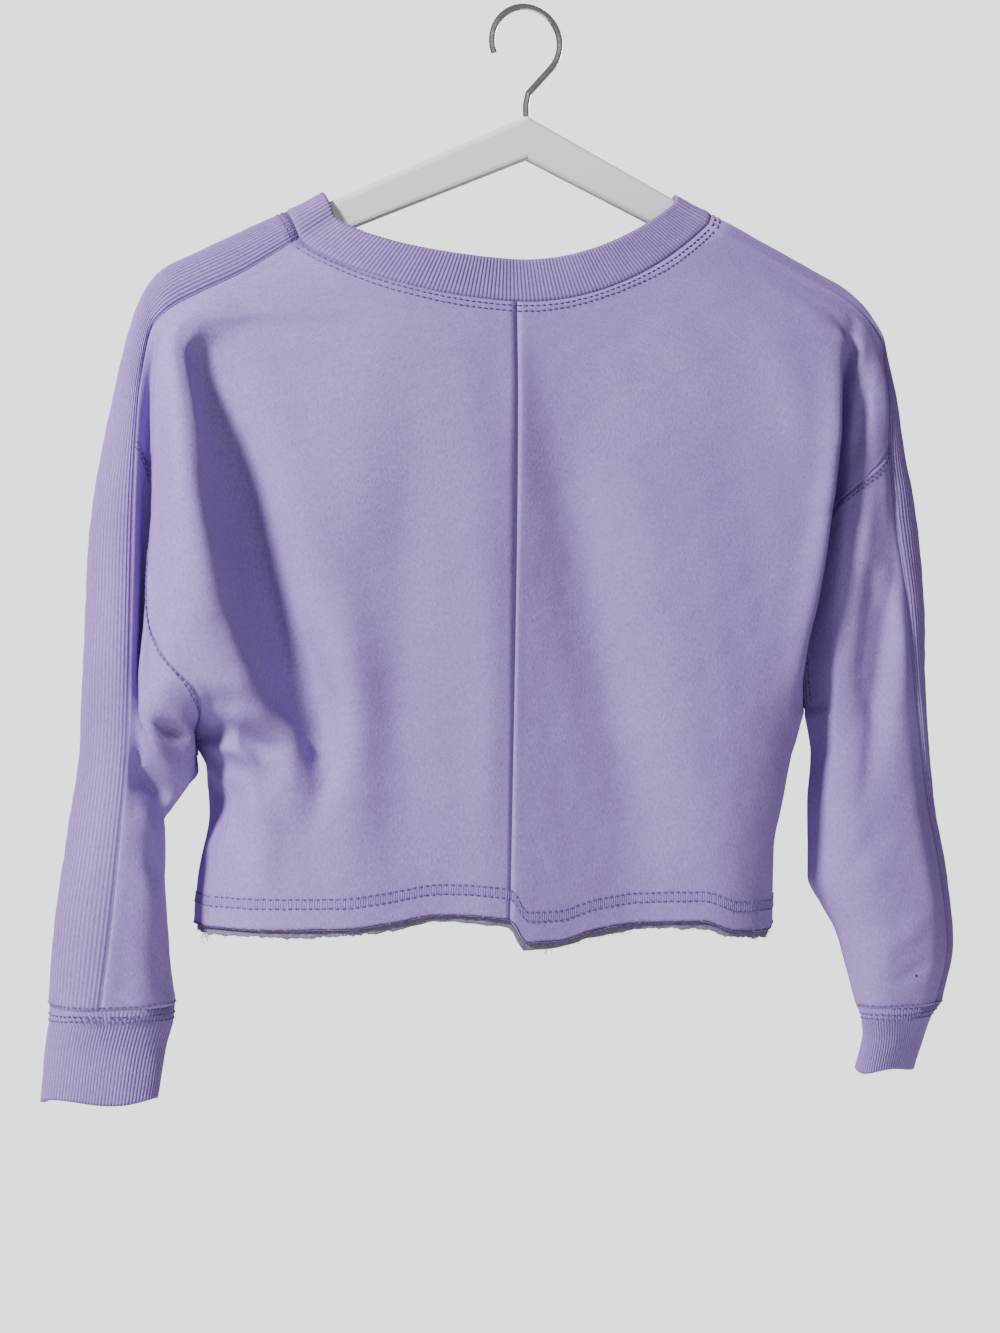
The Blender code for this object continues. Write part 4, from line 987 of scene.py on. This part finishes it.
# the side of a sheet that faces out of the garment
def outwardGuide(name, grid):
    if name.startswith("cuff"):
        guide = grid - grid.mean(axis=0, keepdims=True)
        return guide * (1, 1, 0)
    if name == "neckband":
        return grid * (0, 1, 0)
    if name.startswith("strip"):
        guide = (-1 if name.endswith("left") else 1, 0, 0.5)
    else:
        guide = (0, 1 if name.endswith("front") else -1, 0)
    return np.broadcast_to(np.array(guide, float), grid.shape)


sewnEdges = {
    "back_left": ("first", "last", "end"), "back_right": ("first", "last", "end"),
    "front": ("first", "last", "end"), "strip_left": ("first", "last", "start", "end"),
    "strip_right": ("first", "last", "start", "end"), "neckband": ("start",),
    "cuff_left": ("start",), "cuff_right": ("start",),
    "sleeve_left_back": ("first", "start", "end"), "sleeve_left_front": ("first", "start", "end"),
    "sleeve_right_back": ("first", "start", "end"), "sleeve_right_front": ("first", "start", "end"),
}
normals = {}
dressed = {}
for name, grid in grids.items():
    closed = name in ringColumns
    normal = sheetNormals(grid, closed, outwardGuide(name, grid))
    distance = seamDistance(grid, sewnEdges[name], closed)
    if name.startswith("sleeve"):
        flank = runAlong(grid, 0)
        flank = (flank[-1] - flank)[:, :flankSteps + 1]
        distance[:, :flankSteps + 1] = np.minimum(distance[:, :flankSteps + 1], flank)
    if name.endswith("back") or name.startswith(("back", "strip")):
        grid = grid.copy()
        grid[..., 1] += deepLift(name, grid)
        normal = sheetNormals(grid, closed, outwardGuide(name, grid))
    dip = -garment["seamDip"] * np.exp(-(distance / garment["seamReach"]) ** 2)
    if name.startswith("back"):
        dip *= np.clip(np.linspace(0.3, 4, grid.shape[0]), 0, 1)[:, None]
    dip += garment["seamRoll"] * np.exp(-((distance - 4.0) / 2.0) ** 2)
    calm = 1 - np.exp(-(distance / garment["calmReach"]) ** 2)
    seed = sum(map(ord, name))
    (slow, slowHeight), (short, shortHeight) = garment["slowWaves"], garment["shortWaves"]
    lift = (dip + calm * slowHeight * softWaves(grid, slow, seed)
            + calm * shortHeight * softWaves(grid, short, seed + 1))
    for line, width, height in creases.get(name, ()):
        lift += calm * creaseField(grid, line, width, height)
    relief = np.ones(grid.shape[:2])
    if name.startswith("strip") or closed:
        if closed:
            ribs = grid.shape[0] // 6
            turns = np.arange(grid.shape[0])[:, None] / grid.shape[0] * ribs
        else:
            ribs = stripAcross // 6
            turns = np.linspace(0, ribs, grid.shape[0])[:, None]
        relief = (0.5 + 0.5 * np.cos(2 * np.pi * turns)) ** 0.7 * np.ones(grid.shape[:2])
        lift = lift + garment["ribDepth"] * (relief - 0.5) * (1 - np.exp(-(distance / 1.5) ** 2))
    normals[name] = normal
    dressed[name] = (grid + normal * lift[..., None], relief)

shells = {}
plan = {
    "backLeft": ("back_left",), "backRight": ("back_right",), "frontPanel": ("front",),
    "sleeveLeft": ("sleeve_left_back", "sleeve_left_front"),
    "sleeveRight": ("sleeve_right_back", "sleeve_right_front"),
    "stripLeft": ("strip_left",), "stripRight": ("strip_right",),
    "neckBand": ("neckband",), "cuffLeft": ("cuff_left",), "cuffRight": ("cuff_right",),
}
nodeOf = {
    "backLeft": "back_left", "backRight": "back_right", "frontPanel": "front",
    "sleeveLeft": "sleeve_left", "sleeveRight": "sleeve_right", "stripLeft": "strip_left",
    "stripRight": "strip_right", "neckBand": "neckband", "cuffLeft": "cuff_left",
    "cuffRight": "cuff_right",
}
for piece, names in plan.items():
    ribbed = piece.startswith(("strip", "cuff", "neck"))
    sheets = [(*dressed[name], name in ringColumns, normals[name]) for name in names]
    if len(names) == 2:
        back, front = sheets[0][0], sheets[1][0]
        middle = (back[-1, flankSteps:] + front[-1, flankSteps:]) / 2
        front[-1, flankSteps:] = back[-1, flankSteps:] = middle
    thickness = garment["rib"] if ribbed else garment["fleece"]
    shells[piece] = buildShell(piece, sheets, thickness, ribCloth if ribbed else fleece,
                               garment["ribDepth"] if ribbed else 0)
    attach(shells[piece], "root")
    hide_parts(nodeOf[piece])
    print("piece", piece, len(shells[piece].data.polygons))

# raw inner layer of the hem
hemLayer = {"thickness": 1.2, "gap": 0.4, "shows": 4.0, "sway": 0.5}
hemRing, hemNormal = [], []
for name, way in (("back_left", 1), ("front", 1), ("back_right", -1)):
    points, normal = dressed[name][0][::way, :10], normals[name][::way, :10]
    hemRing.append((points - (garment["fleece"] + hemLayer["gap"]) * normal)[:-1, ::-1])
    hemNormal.append(normal[:-1, ::-1])
hemRing, hemNormal = np.concatenate(hemRing), np.concatenate(hemNormal)
ringCount = len(hemRing)
hemSteps = np.linalg.norm(np.diff(hemRing[:, -1], axis=0), axis=1)
hemRun = np.concatenate(([0], np.cumsum(hemSteps)))
facing = np.zeros((ringCount, 8, 3))
facing[:, :4] = hemRing[:, [0, 3, 6, 9]]
ragged = (0.5 * np.sin(hemRun * 0.11) + 0.3 * np.sin(hemRun * 0.47 + 1)
          + 0.3 * np.sin(hemRun * 1.3 + 2) + 0.25 * np.sin(hemRun * 2.9))
for k in range(4, 8):
    facing[:, k] = facing[:, 3]
    facing[:, k, 2] -= (k - 3) / 4 * (hemLayer["shows"] + ragged)
    facing[:, k, 1] += (k - 3) / 4 * hemLayer["sway"] * np.sin(hemRun * 0.35)
shells["hemFacing"] = buildShell(
    "hemFacing", [(facing, np.ones(facing.shape[:2]), True, hemNormal[:, :8])],
    hemLayer["thickness"], rawCloth,
)
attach(shells["hemFacing"], "root")
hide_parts("hem_facing")

# stitches and frays
print("stitches")
stitch = {
    "length": 2.6, "gap": 1.2, "radius": 0.36, "lift": 0.24, "wobble": 0.2,
    "neckRows": (2.4, 5.8), "armholeRows": (3.0, 6.4), "hemRows": (13.0, 18.5),
    "sleeveEnd": 2.0, "cuffRows": (4.5, 8.0), "ladderStep": 1.5, "ladderRadius": 0.13,
}


# points of a sheet at a distance from one of its edges
def offsetLine(name, edge, offset, first=0, last=None):
    points, normal = dressed[name][0], normals[name]
    axis = 0 if edge in ("first", "last") else 1
    if axis == 0:
        points, normal = np.swapaxes(points, 0, 1), np.swapaxes(normal, 0, 1)
    if edge in ("last", "end"):
        points, normal = points[:, ::-1], normal[:, ::-1]
    run = runAlong(points, 1)
    line = np.zeros((len(points), 6))
    for i in range(len(points)):
        for k in range(3):
            line[i, k] = np.interp(offset, run[i], points[i, :, k])
            line[i, 3 + k] = np.interp(offset, run[i], normal[i, :, k])
    return line[first:last]


def evenLine(line, step):
    run = np.concatenate(([0], np.cumsum(np.linalg.norm(np.diff(line[:, :3], axis=0), axis=1))))
    places = np.arange(0, run[-1], step)
    return np.column_stack([np.interp(places, run, line[:, k]) for k in range(line.shape[1])])


def addThreads(name, runs, radius, material):
    data = bpy.data.curves.new(name, "CURVE")
    data.dimensions = "3D"
    data.bevel_depth = radius * mm
    data.bevel_resolution = 1
    data.use_fill_caps = True
    for points in runs:
        spline = data.splines.new("POLY")
        spline.points.add(len(points) - 1)
        for point, place in zip(spline.points, points):
            point.co = (place[0] * mm, place[1] * mm, place[2] * mm, 1)
    data.materials.append(material)
    threads = addObject(name, data)
    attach(threads, "root")
    return threads


# dashes that lie on a line and dip in at both ends
def dashes(line, seed):
    rng = random.Random(seed)
    step = stitch["length"] / 4
    fine = evenLine(line, step)
    runs = []
    pitch = 4 + max(1, round(stitch["gap"] / step))
    for start in range(0, len(fine) - 5, pitch):
        part = fine[start:start + 5]
        shift = rng.uniform(-1, 1) * stitch["wobble"]
        lifts = (-0.25, 0.7, 1, 0.7, -0.25)
        runs.append([row[:3] + row[3:] * stitch["lift"] * lift * 2 + np.array((0, 0, shift)) * lift
                     for row, lift in zip(part, lifts)])
    return runs


# a thread that goes to and fro between two lines
def ladder(low, high, step):
    low, high = evenLine(low, step), evenLine(high, step)
    count = min(len(low), len(high))
    runs = []
    for k in range(count - 1):
        ends = (low[k], high[k]) if k % 2 else (high[k], low[k])
        runs.append([row[:3] + row[3:] * stitch["lift"] for row in ends])
    return runs


neckRuns = []
for name, edge in (("back_left", "end"), ("back_right", "end"), ("front", "end"),
                   ("strip_left", "start"), ("strip_right", "start")):
    for row, offset in enumerate(stitch["neckRows"]):
        neckRuns += dashes(offsetLine(name, edge, offset), len(neckRuns) + row)
addThreads("neckStitches", neckRuns, stitch["radius"], thread)

armRuns = []
for side in ("left", "right"):
    for half in ("back", "front"):
        name = "sleeve_" + side + "_" + half
        for offset in stitch["armholeRows"]:
            armRuns += dashes(offsetLine(name, "start", offset), len(armRuns))
            armRuns += dashes(offsetLine(name, "last", offset, 0, flankSteps + 1), len(armRuns))
addThreads("armholeStitches", armRuns, stitch["radius"], thread)

hemRuns, hemLadder = [], []
for name in ("back_left", "back_right", "front"):
    lower, upper = (offsetLine(name, "start", offset) for offset in stitch["hemRows"])
    hemRuns += dashes(lower, len(hemRuns)) + dashes(upper, len(hemRuns) + 1)
    hemLadder += ladder(lower, upper, stitch["ladderStep"])
addThreads("hemStitches", hemRuns, stitch["radius"], thread)
addThreads("hemLadder", hemLadder, stitch["ladderRadius"], paleThread)

cuffRuns = []
for side in ("left", "right"):
    for name in ("sleeve_" + side + "_back", "sleeve_" + side + "_front", "strip_" + side):
        cuffRuns += dashes(offsetLine(name, "end", stitch["sleeveEnd"]), len(cuffRuns))
    for offset in stitch["cuffRows"]:
        cuffRuns += dashes(offsetLine("cuff_" + side, "start", offset), len(cuffRuns))
addThreads("cuffStitches", cuffRuns, stitch["radius"], thread)

# the dark thread along the cut edge, broken here and there; its near-black colour is partly the
# thread and partly painted shadow under the hem's outer layer
edgeThreadAndShade = {
    "offset": 0.6, "step": 1.4, "breaks": 0.06, "lift": 0.25, "sway": 0.35, "radius": 0.26,
}
rng = random.Random(5)
edgeThreadAndShadeRuns = []
for name in ("back_left", "back_right", "front"):
    line = evenLine(offsetLine(name, "start", edgeThreadAndShade["offset"]), edgeThreadAndShade["step"])
    row = []
    for place in line:
        if rng.random() < edgeThreadAndShade["breaks"] and len(row) > 3:
            edgeThreadAndShadeRuns.append(row)
            row = []
        sway = rng.uniform(-edgeThreadAndShade["sway"], edgeThreadAndShade["sway"])
        row.append(place[:3] + place[3:] * edgeThreadAndShade["lift"] + np.array((0, 0, sway)))
    edgeThreadAndShadeRuns.append(row)
edgeThreadAndShadeRuns = [row for row in edgeThreadAndShadeRuns if len(row) > 1]
addThreads("hemEdgeThreadAndShade", edgeThreadAndShadeRuns, edgeThreadAndShade["radius"], darkThreadAndEdgeShade)

# a dark fleck on the right sleeve
sleevePoints, sleeveNormals = dressed["sleeve_right_back"][0], normals["sleeve_right_back"]
fleckSize = {"x": 255, "z": -600, "reach": 0.7, "lift": 0.25, "radius": 0.35}
near = np.argmin(np.hypot(sleevePoints[..., 0] - fleckSize["x"],
                          sleevePoints[..., 2] - fleckSize["z"]))
fleckPlace = (sleevePoints.reshape(-1, 3)[near]
              + sleeveNormals.reshape(-1, 3)[near] * fleckSize["lift"])
fleckRun = [fleckPlace + fleckSize["reach"] * np.array((math.cos(t), 0, math.sin(t))) * (1 - t / 9)
            for t in np.linspace(0, 6.5, 9)]
addThreads("darkFleck", [fleckRun], fleckSize["radius"], darkThreadAndEdgeShade)

# frays; each spot is x z, how many hairs, length, spread
fray = {"count": 210, "length": 2.6, "radius": 0.09, "spots": (
    (-207, -552, 10, 9, 2), (-3, -582, 9, 6, 2), (24, -572, 14, 3.6, 12), (46, -571, 12, 3.4, 10),
    (-150, -562, 10, 2.4, 14), (88, -568, 12, 3, 14), (150, -566, 10, 2.6, 12),
)}


def hair(root, length):
    lean = Vector((rng.uniform(-0.6, 0.6), rng.uniform(-0.35, 0.35), -1)).normalized()
    curl = Vector((rng.uniform(-0.5, 0.5), rng.uniform(-0.5, 0.3), 0))
    return [Vector(root) + lean * length * t + curl * length * t * t for t in (0, 0.35, 0.7, 1)]


hairs = []
foot = facing[:, -1]
for _ in range(fray["count"]):
    root = foot[rng.randrange(len(foot))] + np.array((0, 0, 0.4))
    hairs.append(hair(root, fray["length"] * rng.uniform(0.3, 1.1)))
backFoot = foot[foot[:, 1] < 0]
for x, z, count, length, spread in fray["spots"]:
    for _ in range(count):
        near = backFoot[np.argmin(np.abs(backFoot[:, 0] - (x + rng.uniform(-1, 1) * spread)))]
        hairs.append(hair(near + np.array((0, 0, 0.4)), length * rng.uniform(0.35, 1.0)))
addThreads("frays", hairs, fray["radius"], frayFibre)

# hanger: pale moulded plastic and plated wire
hangerLook = {"colour": (0.72, 0.74, 0.73, 1), "roughness": 0.34, "wire": (0.62, 0.63, 0.65, 1)}


# a noise that varies the roughness between two values
def roughnessRange(nodes, links, shader, noise, low, high):
    spread = addNode(nodes, "ShaderNodeMapRange", To_Min=low, To_Max=high)
    links.new(noise, spread.inputs["Value"])
    links.new(spread.outputs["Result"], shader.inputs["Roughness"])


def fineBump(nodes, links, shader, noise, strength, distance):
    bump = addNode(nodes, "ShaderNodeBump", Strength=strength, Distance=distance)
    links.new(noise, bump.inputs["Height"])
    links.new(bump.outputs["Normal"], shader.inputs["Normal"])


plastic, nodes, links, shader = newMaterial("mouldedPlastic")
onHanger = nodes.new("ShaderNodeTexCoord").outputs["Object"]
grain = addNoise(nodes, links, onHanger, Scale=340.0, Detail=3.0)
fineBump(nodes, links, shader, grain, 0.08, 0.0004)
wear = addNoise(nodes, links, onHanger, Scale=30.0, Detail=4.0)
roughnessRange(nodes, links, shader, wear,
               hangerLook["roughness"] - 0.06, hangerLook["roughness"] + 0.14)
shader.inputs["Base Color"].default_value = hangerLook["colour"]

wire, nodes, links, shader = newMaterial("platedWire")
onWire = nodes.new("ShaderNodeTexCoord").outputs["Object"]
drawn = addNoise(nodes, links, onWire, Scale=420.0, Detail=3.0)
roughnessRange(nodes, links, shader, drawn, 0.16, 0.32)
fineBump(nodes, links, shader, drawn, 0.05, 0.0002)
shader.inputs["Base Color"].default_value = hangerLook["wire"]
shader.inputs["Metallic"].default_value = 1.0
for name, material in (("hanger", plastic), ("hanger_hook", wire)):
    cadMesh = bpy.data.objects[name].data
    cadMesh.materials.clear()
    cadMesh.materials.append(material)

# floor, light, camera
print("stage")
floorLook = {"radius": 1.2, "height": -1.15, "colour": (0.85, 0.85, 0.86, 1)}
floorMesh = bmesh.new()
bmesh.ops.create_circle(floorMesh, cap_ends=True, segments=96, radius=floorLook["radius"])
for vert in floorMesh.verts:
    vert.co.z = floorLook["height"]
floorData = bpy.data.meshes.new("floor")
floorMesh.to_mesh(floorData)
floorMesh.free()
floor = addObject("floor", floorData)
paleMaterial, _, _, paleShader = newMaterial("palePaper")
paleShader.inputs["Base Color"].default_value = floorLook["colour"]
paleShader.inputs["Roughness"].default_value = 0.9
floorData.materials.append(paleMaterial)

# pale surroundings: bright to look at, dim as a light
airLook = {"seen": 2.1, "light": 0.2, "colour": (0.97, 0.98, 1.0, 1)}
world = bpy.data.worlds.new("softSky")
bpy.context.scene.world = world
world.use_nodes = True
air = world.node_tree.nodes["Background"]
path = world.node_tree.nodes.new("ShaderNodeLightPath")
airRange = addNode(world.node_tree.nodes, "ShaderNodeMapRange",
                   To_Min=airLook["light"], To_Max=airLook["seen"])
world.node_tree.links.new(path.outputs["Is Camera Ray"], airRange.inputs["Value"])
world.node_tree.links.new(airRange.outputs["Result"], air.inputs["Strength"])
air.inputs["Color"].default_value = airLook["colour"]

# place, target, size and power of each light
studioLights = {
    "keyLight": ((-2.03, -1.22, 0.88), (0, 0, -0.38), 0.42, 155),
    "fillLight": ((1.2, -2.6, 0.2), (0, 0, -0.35), 2.0, 13),
    "frontLight": ((1.5, 2.4, 0.7), (0, 0, -0.4), 1.2, 60),
}
for name, (place, target, size, power) in studioLights.items():
    lamp = bpy.data.lights.new(name, "AREA")
    lamp.shape = "DISK"
    lamp.size = size
    lamp.energy = power
    light = addObject(name, lamp)
    light.location = place
    light.rotation_euler = (Vector(target) - Vector(place)).to_track_quat("-Z", "Y").to_euler()

cameraLook = {"place": (-0.52509, -1.5643, -0.404), "turn": -18, "lens": 72.4, "sensor": 36}
cameraData = bpy.data.cameras.new("camera")
camera = addObject("camera", cameraData)
cameraData.sensor_fit = "VERTICAL"
cameraData.sensor_height = cameraLook["sensor"]
cameraData.lens = cameraLook["lens"]
camera.location = cameraLook["place"]
camera.rotation_euler = (math.radians(90), 0, math.radians(cameraLook["turn"]))
bpy.context.scene.camera = camera
